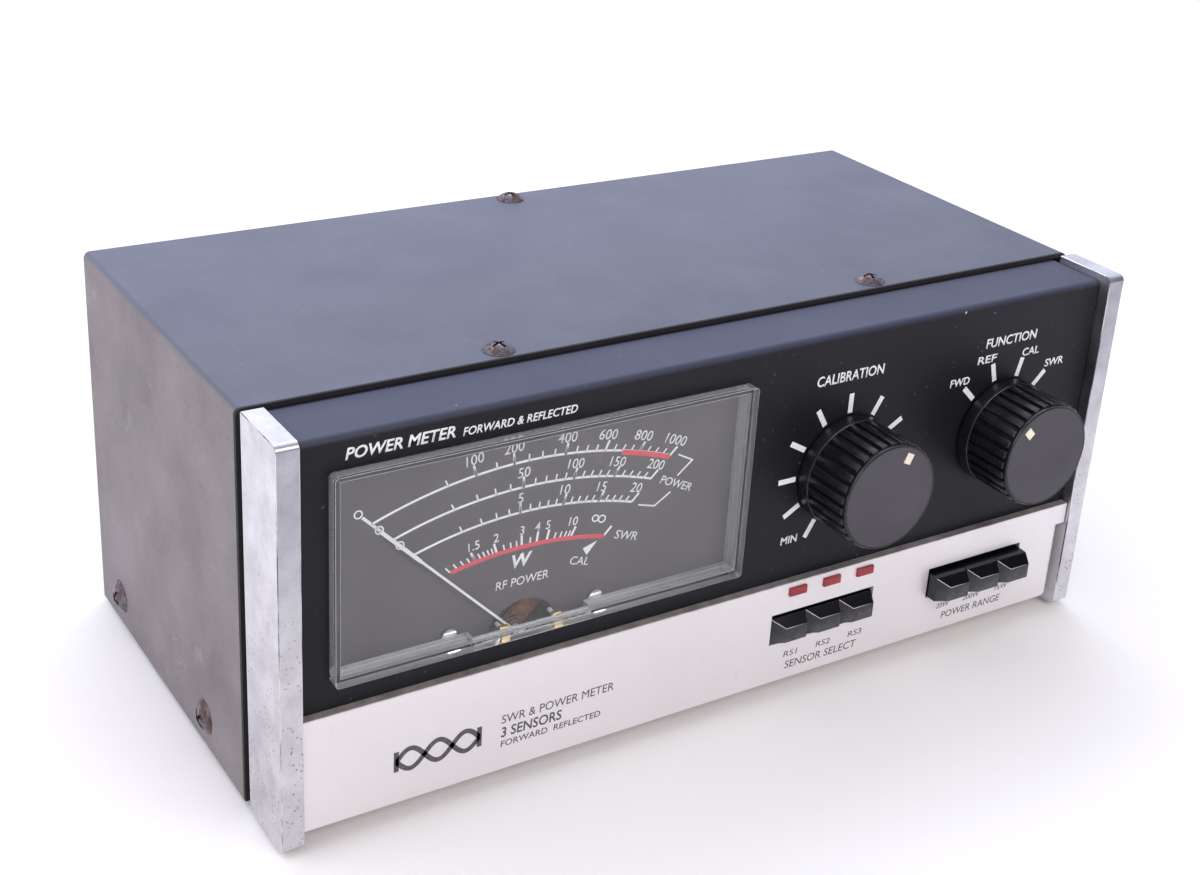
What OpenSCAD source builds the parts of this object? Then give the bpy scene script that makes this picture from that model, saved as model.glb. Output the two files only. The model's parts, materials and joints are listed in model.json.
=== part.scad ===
// Bench SWR and RF power meter: folded steel cover, black meter panel, silver key panel,
// bright end trims, moving-coil meter, two knobs, two banks of push keys, coax sockets behind.
// Millimetres, +X right, +Y to the back, +Z up. Inside the modules y = 0 is the trims' front
// and z = 0 is the trims' lower end; place() moves them into the shared frame.

/* [Body] */
// Width over the two end trims
body_w = 250; // [249:0.5:251]
// Width of one end trim
trim_w = 5.5; // [5.4:0.1:5.6]
// Depth of the end trims
trim_d = 19.5; // [19:0.5:20]
// Height of the end trims
trim_h = 104.3; // [104:0.1:105]
// Front edge of the cover
cover_front = 22.3; // [22:0.1:22.6]
// Back edge of the cover
cover_back = 128.5; // [128:0.1:129]
// Top of the cover
cover_top = 103.5; // [103.4:0.1:103.6]
// Thickness of the cover's steel
sheet = 1.2; // [1.1:0.1:1.2]
// How far the rubber feet stand below the trims
foot_drop = 1.2; // [1:0.1:2]

/* [Front panels] */
// Face of the black panel behind the trims' front
panel_y = 3.5; // [3.4:0.1:3.6]
// Face of the silver panel behind the trims' front
fascia_y = 1.0; // [0.9:0.1:1.1]
// Upper edge of the silver panel
fascia_top = 34; // [33.8:0.1:34]
// Distance from one key to the next
key_pitch = 11.4; // [11.4:0.1:11.5]

/* [Meter] */
// Width of the clear meter cover
meter_w = 112.2; // [112:0.1:112.4]
// Height of the clear meter cover
meter_h = 53.1; // [53:0.1:53.2]
// Length of the pointer from its pivot
pointer_len = 54.5; // [50:0.5:54.5]

/* [Knobs] */
// Radius over the ribs of a knob
knob_r = 14.9; // [14.6:0.1:15]
// Number of ribs round a knob
knob_ribs = 30; // [24:1:32]
// Where the calibration knob's mark points, clockwise from straight up
cal_angle = 25; // [20:1:30]
// Where the function knob's mark points, clockwise from straight up
func_angle = -43; // [-45:1:-40]

/* [Back] */
// Radius over the thread of the coax sockets
coax_r = 7.94; // [7.9:0.01:8]
// Height of the coax sockets
coax_z = 56; // [54:1:58]

/* [Hidden] */
$fn = 48;
eps = 0.01;
frame_shift = 63;
meter_cx = -55.3;
meter_left = meter_cx - meter_w / 2;
meter_z0 = 40.6;
meter_face_y = 0.5;
meter_wall = 1.6;
pivot_x = -59;
pivot_z = 35.8;
dial_y = 9.4;
knob_z = 63.4;
cal_x = 33.4;
func_x = 88.1;
knob_front = -15.5;
knob_back = 3.0;
key_z0 = 16.3;
key_w = 11.1;
rs_x0 = 13.0;
pw_x0 = 67.7;
rs_out = 0.3;
pw_out = 4.0;
plate_y = 14;
floor_z = 2.4;
frame_top = 100.7;
cover_rear_y = 7.6;
rear_y = 126.3;
rear_end = 141.5;
socket_x = [-94, -62, -24, 8, 46, 78];
coupler_x = [-78, -8, 62];
led_x = [20.5, 31.9, 43.3];
top_screws = [[-57.5, 27.5], [56.3, 27.5], [-0.4, 124.3]];
side_screw_y = [48.5, 112.2];
side_screw_z = 8.6;
trim_screw_z = [24, 82];
foot_pos = [[-98, 38], [98, 38], [-98, 112], [98, 112]];
stand_pos = [[0, 52], [104, 52], [0, 101], [104, 101]];

black = "#2B2B2F";
steel = "#B9BAC0";
bright = "#D5D6DA";

// ---------- helpers ----------

module place() {
    translate([0, -frame_shift, foot_drop]) children();
}

module block(lo, hi) {
    translate(lo) cube(hi - lo);
}

// Round bar along Y from y0 to y1, centred on (x, z)
module rod(x, z, y0, y1, r) {
    translate([x, y1, z]) rotate([90, 0, 0]) cylinder(h = y1 - y0, r = r);
}

// A 2D shape drawn in X and Z, made solid from y0 to y1
module slab(y0, y1) {
    translate([0, y1, 0]) rotate([90, 0, 0]) linear_extrude(height = y1 - y0) children();
}

module round_rect(x0, z0, x1, z1, r) {
    translate([x0 + r, z0]) square([x1 - x0 - 2 * r, z1 - z0]);
    translate([x0, z0 + r]) square([x1 - x0, z1 - z0 - 2 * r]);
    for (x = [x0 + r, x1 - r], z = [z0 + r, z1 - r]) translate([x, z]) circle(r = r);
}

module round_top(half, z0, z1, r) {
    translate([-half, z0]) square([2 * half, z1 - z0 - r]);
    translate([-half + r, z0]) square([2 * half - 2 * r, z1 - z0]);
    for (s = [-1, 1]) translate([s * (half - r), z1 - r]) circle(r = r);
}

// Low domed head on z = 0 with a cross recess, and its shank below
module truss_screw(head_r, head_h, shank_r, shank_l) {
    ball = (head_r * head_r + head_h * head_h) / (2 * head_h);
    difference() {
        union() {
            intersection() {
                translate([0, 0, head_h - ball]) sphere(r = ball, $fn = 64);
                cylinder(h = head_h + 1, r = head_r);
            }
            translate([0, 0, -shank_l]) cylinder(h = shank_l + 0.2, r = shank_r);
        }
        for (a = [0, 90]) rotate([0, 0, a])
            translate([-head_r * 0.5, -head_r * 0.09, head_h - 1.3]) cube([head_r, head_r * 0.18, 3]);
    }
}

// Countersunk screw whose head face is z = 0
module flat_screw(head_r, shank_r, shank_l) {
    difference() {
        union() {
            translate([0, 0, -(head_r - shank_r)])
                cylinder(h = head_r - shank_r, r1 = shank_r, r2 = head_r);
            translate([0, 0, -shank_l]) cylinder(h = shank_l - (head_r - shank_r) + eps, r = shank_r);
        }
        for (a = [0, 90]) rotate([0, 0, a])
            translate([-head_r * 0.55, -0.3, -0.7]) cube([head_r * 1.1, 0.6, 2]);
    }
}

module hex_nut(x, z, y0, y1, across, bore) {
    difference() {
        translate([x, y1, z]) rotate([90, 0, 0]) cylinder(h = y1 - y0, r = across / sqrt(3), $fn = 6);
        rod(x, z, y0 - 1, y1 + 1, bore);
    }
}

// ---------- case work ----------

module cover() color("#70738A") place() difference() {
    slab(cover_front, cover_back) difference() {
        round_top(body_w / 2, 0.3, cover_top, 1.8);
        round_top(body_w / 2 - sheet, -1, cover_top - sheet, 0.6);
    }
    for (p = top_screws) translate([p[0], p[1], cover_top - 3]) cylinder(h = 6, r = 2.0);
    for (y = side_screw_y) translate([-body_w, y, side_screw_z]) rotate([0, 90, 0])
        cylinder(h = 2 * body_w, r = 2.3);
}

module chassis() color(steel) place() difference() {
    inner = body_w / 2 - sheet - 0.1;
    union() {
        block([-inner, 23, floor_z], [inner, rear_y - 0.1, floor_z + 1.2]);
        block([-118, plate_y, floor_z], [118, 23 + eps, floor_z + 1.2]);
        for (s = [-1, 1]) block([s > 0 ? inner - 1.2 : -inner, 23, floor_z],
                                [s > 0 ? inner : -inner + 1.2, rear_y - 0.1, 22]);
    }
    for (y = side_screw_y) translate([-body_w, y, side_screw_z]) rotate([0, 90, 0])
        cylinder(h = 2 * body_w, r = 1.95);
    for (p = foot_pos) translate([p[0], p[1], 0]) cylinder(h = 8, r = 1.75);
    for (p = stand_pos) translate([p[0], p[1], 0]) cylinder(h = 8, r = 1.5);
}

module rear_panel() color("#2F3034") place() difference() {
    half = body_w / 2 - sheet - 0.15;
    union() {
        slab(rear_y, rear_y + 1.2) round_top(half, floor_z + 0.1, cover_top - sheet - 0.1, 0.6);
        block([-half + 2, 114, cover_top - sheet - 1.3], [half - 2, rear_y + eps, cover_top - sheet - 0.1]);
    }
    translate([top_screws[2][0], top_screws[2][1], 90]) cylinder(h = 20, r = 1.75);
    for (x = socket_x) {
        rod(x, coax_z, rear_y - 1, rear_y + 3, 7.4);
        for (dx = [-9.1, 9.1], dz = [-9.1, 9.1]) rod(x + dx, coax_z + dz, rear_y - 1, rear_y + 3, 1.6);
    }
    rod(100, 24, rear_y - 1, rear_y + 3, 5.6);
    rod(-106, 20, rear_y - 1, rear_y + 3, 2.5);
}

module front_frame() color("#26262A") place() difference() {
    union() {
        block([-119.4, plate_y, 3.6], [119.4, plate_y + 1.2, frame_top]);
        for (s = [-1, 1]) block([s > 0 ? 118.2 : -119.4, plate_y, 3.6],
                                [s > 0 ? 119.4 : -118.2, 36, frame_top]);
        block([-119.4, plate_y, frame_top - 1.2], [119.4, 36, frame_top]);
        block([-118, plate_y, 3.6], [118, 30, 4.8]);
    }
    block([-105.4, 0, 12.4], [-13, 40, 92.6]);
    for (x = [cal_x, func_x]) rod(x, knob_z, 0, 40, 4.55);
    for (x = [rs_x0, pw_x0]) block([x, 0, 14.8], [x + 3 * key_pitch, 20, 25.4]);
    for (p = [top_screws[0], top_screws[1]]) translate([p[0], p[1], 90]) cylinder(h = 20, r = 1.75);
    for (z = trim_screw_z) translate([-body_w, 16.8, z]) rotate([0, 90, 0])
        cylinder(h = 2 * body_w, r = 1.6);
    // Clearance round the heads of the trim screws
    for (z = trim_screw_z, s = [-1, 1]) translate([s * 118.2, 16.8, z]) rotate([0, -90 * s, 0])
        cylinder(h = 3, r = 3.1);
}

module black_panel() color(black) place() difference() {
    translate([119.3, 0, 0]) rotate([0, -90, 0]) linear_extrude(height = 238.6) panel_bend();
    slab(0, 8) round_rect(meter_left - 0.25, meter_z0 - 0.25, meter_left + meter_w + 0.25,
                          meter_z0 + meter_h + 0.25, 1.2);
    for (x = [cal_x, func_x]) rod(x, knob_z, 0, 12, 5);
    for (p = [top_screws[0], top_screws[1]]) translate([p[0], p[1], 90]) cylinder(h = 20, r = 1.9);
}

// Side view of the black panel: x is height, y is depth
module panel_bend() {
    top = cover_top - sheet - 0.05;
    difference() {
        union() {
            translate([32.9, panel_y]) square([top - 32.9 - 1.8, 1.5]);
            translate([top - 1.5, panel_y + 1.8]) square([1.5, 30 - panel_y]);
            translate([top - 1.8, panel_y + 1.8]) circle(r = 1.8);
        }
        translate([top - 6.8, panel_y + 1.8]) square([5.3, 5]);
        translate([top - 6.8, panel_y + 1.5]) square([5, 5]);
    }
}

module silver_panel() color("#E8E4E6") place() difference() {
    t = 1.2;
    back = fascia_y + t;
    union() {
        slab(fascia_y, back) translate([-119.2, 27.6]) square([238.4, fascia_top - 27.6]);
        // The lower part meets the left trim and stops short of the right one
        slab(fascia_y, back) translate([-119.2, 4]) square([234.2, 23.6 + eps]);
        block([-119.2, fascia_y + eps, fascia_top - t], [119.2, panel_y - 0.1, fascia_top]);
        block([-119.2, fascia_y + eps, 4], [115, plate_y - 0.1, 4 + t]);
        block([-119.2, fascia_y + eps, 4.4], [-119.2 + t, plate_y - 0.1, 27.5]);
        translate([0, 0, 4.4]) linear_extrude(height = 23.1) {
            difference() {
                translate([115, fascia_y + 2.4]) circle(r = 2.4);
                translate([115, fascia_y + 2.4]) circle(r = 1.2);
                translate([110, fascia_y - 1]) square([5, 8]);
                translate([110, fascia_y + 2.4]) square([10, 8]);
            }
            translate([116.2, fascia_y + 2.4 - eps]) square([1.2, plate_y - 0.1 - fascia_y - 2.4]);
        }
    }
    slab(-2, 6) {
        translate([rs_x0 - 0.2, 15.9]) square([3 * key_pitch + 0.4, 9.2]);
        translate([pw_x0 - 0.2, 15.9]) square([3 * key_pitch + 0.4, 9.2]);
        for (x = led_x) translate([x - 2.85, 29.85]) square([5.7, 2.5]);
    }
}

module trim_bar() difference() {
    // Side view: x is height, y is depth; the two front corners are rounded
    translate([-body_w / 2 + trim_w, 0, 0]) rotate([0, -90, 0]) linear_extrude(height = trim_w) {
        translate([0, 1.8]) square([trim_h, trim_d - 1.8]);
        translate([1.8, 0]) square([trim_h - 3.6, 2]);
        for (z = [1.8, trim_h - 1.8]) translate([z, 1.8]) circle(r = 1.8);
    }
    for (z = trim_screw_z) translate([-body_w / 2 + 1.5, 16.8, z]) rotate([0, 90, 0])
        cylinder(h = 6, r = 1.5);
}

module trim_left() color(bright) place() trim_bar();

module trim_right() color(bright) place() mirror([1, 0, 0]) trim_bar();

module trim_screws() color(steel) place() for (s = [0, 1]) mirror([s, 0, 0])
    for (z = trim_screw_z) translate([-118.2, 16.8, z]) rotate([0, 90, 0]) difference() {
        union() {
            cylinder(h = 1.9, r = 2.8);
            translate([0, 0, -4.6]) cylinder(h = 4.6 + eps, r = 1.5);
        }
        for (a = [0, 90]) rotate([0, 0, a]) translate([-1.6, -0.35, 1.0]) cube([3.2, 0.7, 2]);
    }

module cover_top_screws() color("#8A7F70") place() for (p = top_screws)
    translate([p[0], p[1], cover_top]) rotate([0, 0, 20 + 40 * p[0]]) truss_screw(4.05, 1.9, 1.7, 6);

module cover_side_screws() color("#7F7466") place() for (s = [0, 1]) mirror([s, 0, 0])
    for (y = side_screw_y) translate([-body_w / 2, y, side_screw_z]) rotate([0, -90, 0])
        rotate([0, 0, 30 + y]) truss_screw(4.7, 2.1, 1.9, 5.5);

module feet() color("#1D1D1F") place() for (p = foot_pos) translate([p[0], p[1], -foot_drop]) difference() {
    union() {
        cylinder(h = 1.5, r1 = 6.6, r2 = 7.2);
        translate([0, 0, 1.5 - eps]) cylinder(h = floor_z + foot_drop - 1.5, r = 7.2);
    }
    translate([0, 0, -1]) cylinder(h = 2.6, r = 3.4);
    cylinder(h = 9, r = 1.7);
}

module foot_screws() color(steel) place() for (p = foot_pos) translate([p[0], p[1], 0.4 - foot_drop])
    mirror([0, 0, 1]) translate([0, 0, -1.2]) {
        cylinder(h = 1.0, r = 3.1);
        translate([0, 0, -6]) cylinder(h = 6 + eps, r = 1.6);
    }

// ---------- meter ----------

module meter_cover() color([0.85, 0.88, 0.9, 0.35]) place() difference() {
    x1 = meter_left + meter_w;
    z1 = meter_z0 + meter_h;
    w = meter_wall;
    union() {
        slab(meter_face_y, cover_rear_y) round_rect(meter_left, meter_z0, x1, z1, 1);
        slab(panel_y + 1.55, cover_rear_y)
            round_rect(meter_left - 1.4, meter_z0 - 1.4, x1 + 1.4, z1 + 1.4, 1);
    }
    slab(meter_face_y + 2, 12) translate([meter_left + w, meter_z0 + w])
        square([meter_w - 2 * w, meter_h - 2 * w]);
    // Notch in the lower wall for the movement
    block([pivot_x - 16, 4.9, meter_z0 - 3], [pivot_x + 16, 12, meter_z0 + w + 1]);
}

module meter_case() color("#222225") place() difference() {
    union() {
        slab(10.3, 12.3) translate([meter_left, 31]) square([meter_w, meter_z0 + meter_h - 31]);
        block([-105, 10.3, 12.8], [-13.4, 48, 92.2]);
    }
    block([-103, 0, 14.8], [-15.4, 46, 90.2]);
    for (s = [-1, 1]) rod(pivot_x + s * 20.2, pivot_z + 5.9, 9, 13, 1.2);
}

module dial_plate() color("#555055") place() difference() {
    slab(dial_y, dial_y + 0.8) difference() {
        translate([meter_left, 34]) square([meter_w, meter_z0 + meter_h - 34]);
        translate([pivot_x, pivot_z]) circle(r = 10);
        translate([pivot_x - 15, 30]) square([30, 8.4]);
    }
    for (s = [-1, 1]) rod(pivot_x + s * 20.2, pivot_z + 5.9, 9, 13, 1.2);
}

module dial_screws() color(bright) place() for (s = [-1, 1])
    translate([pivot_x + s * 20.2, dial_y, pivot_z + 5.9]) rotate([90, 0, 0]) difference() {
        union() {
            cylinder(h = 1.0, r = 1.9);
            translate([0, 0, -2.6]) cylinder(h = 2.6 + eps, r = 1.15);
        }
        translate([-2.5, -0.25, 0.6]) cube([5, 0.5, 2]);
    }

// Pointer at rest on zero, 45 degrees to the left of straight up
module pointer() color("#F2F2F0") place() translate([pivot_x, 0, pivot_z]) difference() {
    union() {
        rod(0, 0, 7.5, 14.6, 1.2);
        rotate([0, -45, 0]) {
            block([-0.3, 8.0, 0], [0.3, 8.4, pointer_len]);
            block([-0.45, 8.0, 40], [0.45, 8.4, pointer_len]);
            block([-0.6, 8.0, -7], [0.6, 8.4, 0]);
            block([-1.3, 7.8, -7.5], [1.3, 8.6, -5.5]);
        }
    }
    rod(0, 0, 7, 8.1, 0.5);
}

module moving_coil() color("#B06A3A") place() translate([pivot_x, 0, pivot_z]) rotate([0, 45, 0])
    difference() {
        union() {
            block([-2.5, 14.6, -8.9], [2.5, 15.8, 8.9]);
            block([-2.5, 31.6, -8.9], [2.5, 32.8, 8.9]);
            for (s = [-1, 1]) block([-2.5, 15.7, s > 0 ? 7.3 : -8.9], [2.5, 31.7, s > 0 ? 8.9 : -7.3]);
            rod(0, 0, 32.7, 34.2, 1.0);
        }
        rod(0, 0, 33.6, 35, 0.5);
    }

module hairspring() color("#C8A860") place() translate([pivot_x, 12.4, pivot_z]) rotate([90, 0, 0])
    linear_extrude(height = 0.6) polygon(concat(
        [for (i = [0:72]) (2.0 + i * 0.045) * [cos(i * 15), sin(i * 15)]],
        [for (i = [72:-1:0]) (1.75 + i * 0.045) * [cos(i * 15), sin(i * 15)]]));

module meter_core() color("#8C8C90") place() difference() {
    union() {
        rod(pivot_x, pivot_z, 18, 30, 6.8);
        for (s = [-1, 1]) block([pivot_x - 1.4, 19, pivot_z + (s > 0 ? 6 : -10)],
                                [pivot_x + 1.4, 29, pivot_z + (s > 0 ? 10 : -6)]);
    }
    rod(pivot_x, pivot_z, 17, 31, 1.5);
}

module meter_magnets() color("#5C5C60") place() for (s = [0, 1]) translate([pivot_x, 0, pivot_z])
    mirror([s, 0, 0]) slab(18, 30) difference() {
        intersection() {
            circle(r = 13.4);
            polygon([[0, 0], [30, 42], [30, -42]]);
        }
        circle(r = 9.7);
    }

module meter_yoke() color("#77777C") place() translate([pivot_x, 0, pivot_z]) {
    slab(17.2, 30.8) difference() {
        circle(r = 16.4);
        circle(r = 13.4);
    }
    for (s = [-1, 1]) block([-1.4, 19, s > 0 ? 10 : -14.2], [1.4, 29, s > 0 ? 14.2 : -10]);
    for (s = [-1, 1]) block([s > 0 ? 15.6 : -44, 22, -4], [s > 0 ? 43.6 : -15.6, 26, 4]);
}

module bridge_front() color("#B9A46A") place() translate([pivot_x, 0, pivot_z]) difference() {
    union() {
        block([-14, 5.3, -2], [14, 6.3, 2]);
        for (s = [-1, 1]) {
            block([s > 0 ? 12.6 : -14.4, 5.3, -1.8], [s > 0 ? 14.4 : -12.6, 17.2, 1.8]);
            block([s * 7.3 - 1.2, 5.3, 0], [s * 7.3 + 1.2, 6.3, 6.6]);
        }
    }
    rod(0, 0, 4, 8, 1.3);
}

module bridge_rear() color("#B9A46A") place() translate([pivot_x, 0, pivot_z]) difference() {
    union() {
        block([-14, 35.0, -2], [14, 36.2, 2]);
        for (s = [-1, 1]) block([s > 0 ? 12.6 : -15, 30.8, -1.8], [s > 0 ? 15 : -12.6, 36.2, 1.8]);
    }
    rod(0, 0, 34, 38, 1.3);
}

module jewel_screws() color("#D8D8DC") place() translate([pivot_x, 0, pivot_z]) {
    difference() {
        rod(0, 0, 5.2, 7.1, 1.3);
        block([-2, 5.0, -0.2], [2, 5.6, 0.2]);
    }
    rod(0, 0, 34.6, 36.8, 1.3);
}

module pointer_stops() color("#F4F4F2") place() for (s = [-1, 1])
    rod(pivot_x + s * 7.3, pivot_z + 5.3, 6.3, 9.2, 0.55);

// ---------- knobs ----------

// Knob on an axis along Y, its mark turned by the angle given
module knob_body(x, mark) color("#202023") place() translate([x, 0, knob_z]) rotate([0, mark, 0])
    difference() {
        rotate([90, 0, 0]) rotate_extrude($fn = 96) polygon([
            [3.02, -knob_back], [15.2, -knob_back], [15.2, -0.9], [knob_r, -0.4], [knob_r, 13.6],
            [14.5, 14.6], [14.5, -knob_front], [14.05, -knob_front], [14.05, 14.6], [3.02, 14.6]]);
        for (i = [0:knob_ribs - 1]) rotate([0, (i + 0.5) * 360 / knob_ribs, 0])
            block([-0.55, knob_front - 1, knob_r - 0.9], [0.55, -0.4, knob_r + 2]);
        translate([0, -5, -17]) cylinder(h = 14.2, r = 1.5);
    }

module knob_disc(x, mark) color("#484448") place() translate([x, 0, knob_z]) rotate([0, mark, 0])
    difference() {
        rod(0, 0, knob_front, -14.6, 14.0);
        block([-1.2, knob_front - 1, 9.6], [1.2, knob_front + 0.4, 12.6]);
    }

module knob_mark(x, mark) color("#EDE6D2") place() translate([x, 0, knob_z]) rotate([0, mark, 0])
    block([-1.15, knob_front - 0.05, 9.65], [1.15, knob_front + 0.4, 12.55]);

module knob_grub(x, mark) color("#3A3A3E") place() translate([x, 0, knob_z]) rotate([0, mark, 0])
    difference() {
        translate([0, -5, -9]) cylinder(h = 6, r = 1.5);
        translate([-0.25, -7, -10]) cube([0.5, 4, 1.8]);
    }

module bushing(x, y1) {
    difference() {
        rod(x, knob_z, 7, y1, 4.5);
        rod(x, knob_z, 0, 60, 3.06);
    }
}

module cal_pot() color("#A9A9AE") place() {
    bushing(cal_x, 15.3);
    difference() {
        union() {
            rod(cal_x, knob_z, 15.2, 25, 12);
            block([cal_x - 8, 15.2, knob_z - 19], [cal_x + 8, 17, knob_z - 8]);
        }
        rod(cal_x, knob_z, 0, 24, 3.4);
        rod(cal_x, knob_z, 16.5, 23.6, 10.8);
    }
    for (i = [-1:1])
        block([cal_x + i * 5 - 0.6, 15.6, knob_z - 24], [cal_x + i * 5 + 0.6, 16.2, knob_z - 18.9]);
}

module cal_shaft() color(steel) place() {
    rod(cal_x, knob_z, -12, 23, 3.0);
    difference() {
        rod(cal_x, knob_z, 19, 20.4, 8.6);
        block([cal_x - 20, 18, knob_z - 20], [cal_x + 20, 22, knob_z - 2.5]);
    }
}

module func_switch() color("#C9B58A") place() {
    bushing(func_x, 15.3);
    difference() {
        union() {
            rod(func_x, knob_z, 15.2, 21, 14);
            for (a = [45, 225]) translate([func_x, 0, knob_z]) rotate([0, a, 0])
                rod(0, 11.6, 20.9, 38, 1.4);
            rod(func_x, knob_z, 28, 30, 15.5);
        }
        rod(func_x, knob_z, 0, 50, 3.4);
        rod(func_x, knob_z, 16.4, 19.6, 12.4);
    }
    for (i = [0:11]) translate([func_x, 0, knob_z]) rotate([0, i * 30 + 15, 0])
        block([-0.6, 28.6, 14.5], [0.6, 29.2, 19]);
}

module func_shaft() color(steel) place() {
    rod(func_x, knob_z, -12, 40, 3.0);
    difference() {
        rod(func_x, knob_z, 17, 19, 10.5);
        for (i = [0:11]) translate([func_x, 0, knob_z]) rotate([0, i * 30, 0]) rod(0, 10.8, 16, 20, 1.3);
    }
}

module cal_nut() color(steel) place() hex_nut(cal_x, knob_z, 11.4, plate_y, 12, 4.5);
module func_nut() color(steel) place() hex_nut(func_x, knob_z, 11.4, plate_y, 12, 4.5);
module cal_knob() knob_body(cal_x, cal_angle);
module func_knob() knob_body(func_x, func_angle);
module cal_disc() knob_disc(cal_x, cal_angle);
module func_disc() knob_disc(func_x, func_angle);
module cal_mark() knob_mark(cal_x, cal_angle);
module func_mark() knob_mark(func_x, func_angle);
module cal_grub() knob_grub(cal_x, cal_angle);
module func_grub() knob_grub(func_x, func_angle);

// ---------- keys and lamps ----------

// Key number i of the bank that starts at x0, its face standing `out` in front of the trims
module key(x0, i, out) color("#17171A") place()
    translate([x0 + i * key_pitch + (key_pitch - key_w) / 2, -out, 0]) {
        intersection() {
            rotate([0, -90, 180]) translate([0, 0, -1])
                linear_extrude(height = key_w + 2) polygon([[key_z0, 0], [20.7, 0], [23.6, -1.9],
                    [23.8, -8.5], [key_z0, -8.5]]);
            translate([0, 0, 10]) linear_extrude(height = 20) polygon([[0, 8.5], [0, 1.9],
                [4.0, 0], [key_w, 0], [key_w, 8.5]]);
        }
        block([key_w / 2 - 2, 8.4, 18], [key_w / 2 + 2, 34 + out, 22]);
    }

module key_rs1() key(rs_x0, 0, rs_out);
module key_rs2() key(rs_x0, 1, rs_out);
module key_rs3() key(rs_x0, 2, rs_out);
module key_20w() key(pw_x0, 0, pw_out);
module key_200w() key(pw_x0, 1, pw_out);
module key_1kw() key(pw_x0, 2, pw_out);

module key_bank(x0) color("#B8B2A2") place() difference() {
    block([x0 - 3, 15.3, 11], [x0 + 3 * key_pitch + 3, 42, 29]);
    for (i = [0:2]) block([x0 + (i + 0.5) * key_pitch - 2.4, 10, 17.6],
                          [x0 + (i + 0.5) * key_pitch + 2.4, 50, 22.4]);
}

module bank_sensor() key_bank(rs_x0);
module bank_range() key_bank(pw_x0);

module leds() color("#BE3C4B") place() for (x = led_x) {
    block([x - 2.8, 0.3, 29.9], [x + 2.8, 6, 32.3]);
    for (s = [-1, 1]) block([x + s * 1.3 - 0.25, 6 - eps, 30.85], [x + s * 1.3 + 0.25, 9.2, 31.35]);
}

// ---------- inside and back ----------

module main_board() color("#7A8440") place() {
    difference() {
        block([-6, 44, 12], [110, 118, 13.6]);
        for (p = stand_pos) translate([p[0], p[1], 10]) cylinder(h = 6, r = 1.4);
    }
    for (i = [0:3]) translate([12 + i * 24, 60, 13.6 - eps]) cylinder(h = 11, r = 4);
    for (i = [0:5]) block([14 + i * 15, 76, 13.6 - eps], [21 + i * 15, 83, 19]);
    for (i = [0:2]) block([16 + i * 30, 96, 13.6 - eps], [36 + i * 30, 103, 17]);
}

module standoffs() color(steel) place() for (p = stand_pos) translate([p[0], p[1], 0]) {
    translate([0, 0, floor_z + 1.2]) cylinder(h = 8.4, r = 3);
    translate([0, 0, floor_z - 0.4]) cylinder(h = 1.8, r = 1.5);
    translate([0, 0, 11.9]) cylinder(h = 1.9, r = 1.4);
    translate([0, 0, 13.6]) cylinder(h = 1.8, r = 2.6);
}

module couplers() color("#C4C2BC") place() for (x = coupler_x) difference() {
    block([x - 29, 88, coax_z - 16], [x + 29, rear_y - 0.1, coax_z + 16]);
    block([x - 27.8, 89.2, coax_z - 14.8], [x + 27.8, rear_y + 1, coax_z + 14.8]);
    rod(x, coax_z, 80, 95, 3);
}

module socket(x, bore) difference() {
    union() {
        block([x - 12.7, rear_y + 1.2, coax_z - 12.7], [x + 12.7, rear_y + 3.2, coax_z + 12.7]);
        rod(x, coax_z, rear_y + 3.1, rear_end, coax_r);
        rod(x, coax_z, rear_y - 6, rear_y + 1.3, 7.2);
    }
    rod(x, coax_z, rear_y + 4, rear_end + 1, bore);
    rod(x, coax_z, rear_y - 8, rear_y + 6, 5);
    for (dx = [-9.1, 9.1], dz = [-9.1, 9.1]) rod(x + dx, coax_z + dz, rear_y, rear_y + 5, 1.6);
}

module sockets_uhf() color(bright) place() for (i = [0:3]) socket(socket_x[i], 6.3);
module sockets_n() color(bright) place() for (i = [4:5]) socket(socket_x[i], 6.3);

// Insulator and centre contact of each socket
module socket_inserts() color("#E9E4D6") place() for (i = [0:5]) difference() {
    pin = i < 4 ? 3.0 : 2.1;
    union() {
        rod(socket_x[i], coax_z, rear_y - 6, rear_y + 4, 5);
        rod(socket_x[i], coax_z, rear_y + 3.9, rear_end - 2, pin);
        rod(socket_x[i], coax_z, rear_y - 12, rear_y - 5.9, 1.2);
    }
    rod(socket_x[i], coax_z, rear_end - 9, rear_end, i < 4 ? 2.0 : 0.9);
}

module socket_screws() color(steel) place() for (x = socket_x, dx = [-9.1, 9.1], dz = [-9.1, 9.1])
    translate([x + dx, rear_y + 3.2, coax_z + dz]) rotate([-90, 0, 0]) truss_screw(2.7, 1.4, 1.5, 6);

module dc_jack() color("#1B1B1D") place() difference() {
    union() {
        rod(100, 24, rear_y - 14, rear_y + 1.3, 5.5);
        rod(100, 24, rear_y + 1.2, rear_y + 3.4, 7.5);
    }
    rod(100, 24, rear_y - 8, rear_y + 5, 2.85);
    rod(100, 24, rear_y - 13, rear_y - 7.9, 2.0);
}

module ground_post() color(steel) place() {
    rod(-106, 20, rear_y - 6, rear_end, 2.45);
    difference() {
        rod(-106, 20, rear_y + 1.2, rear_y + 2.6, 6);
        rod(-106, 20, rear_y, rear_y + 4, 2.4);
    }
    hex_nut(-106, 20, rear_y - 4, rear_y, 8, 2.4);
}

module ground_nut() color("#C9B36B") place() translate([-106, 0, 20]) difference() {
    union() {
        rod(0, 0, rear_y + 3.0, rear_y + 7.5, 5.6);
        for (s = [-1, 1])
            block([s > 0 ? 3.5 : -9.5, rear_y + 3.4, -0.9], [s > 0 ? 9.5 : -3.5, rear_y + 9.5, 0.9]);
    }
    rod(0, 0, rear_y, rear_end, 2.53);
}

// ---------- drawing ----------

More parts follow.
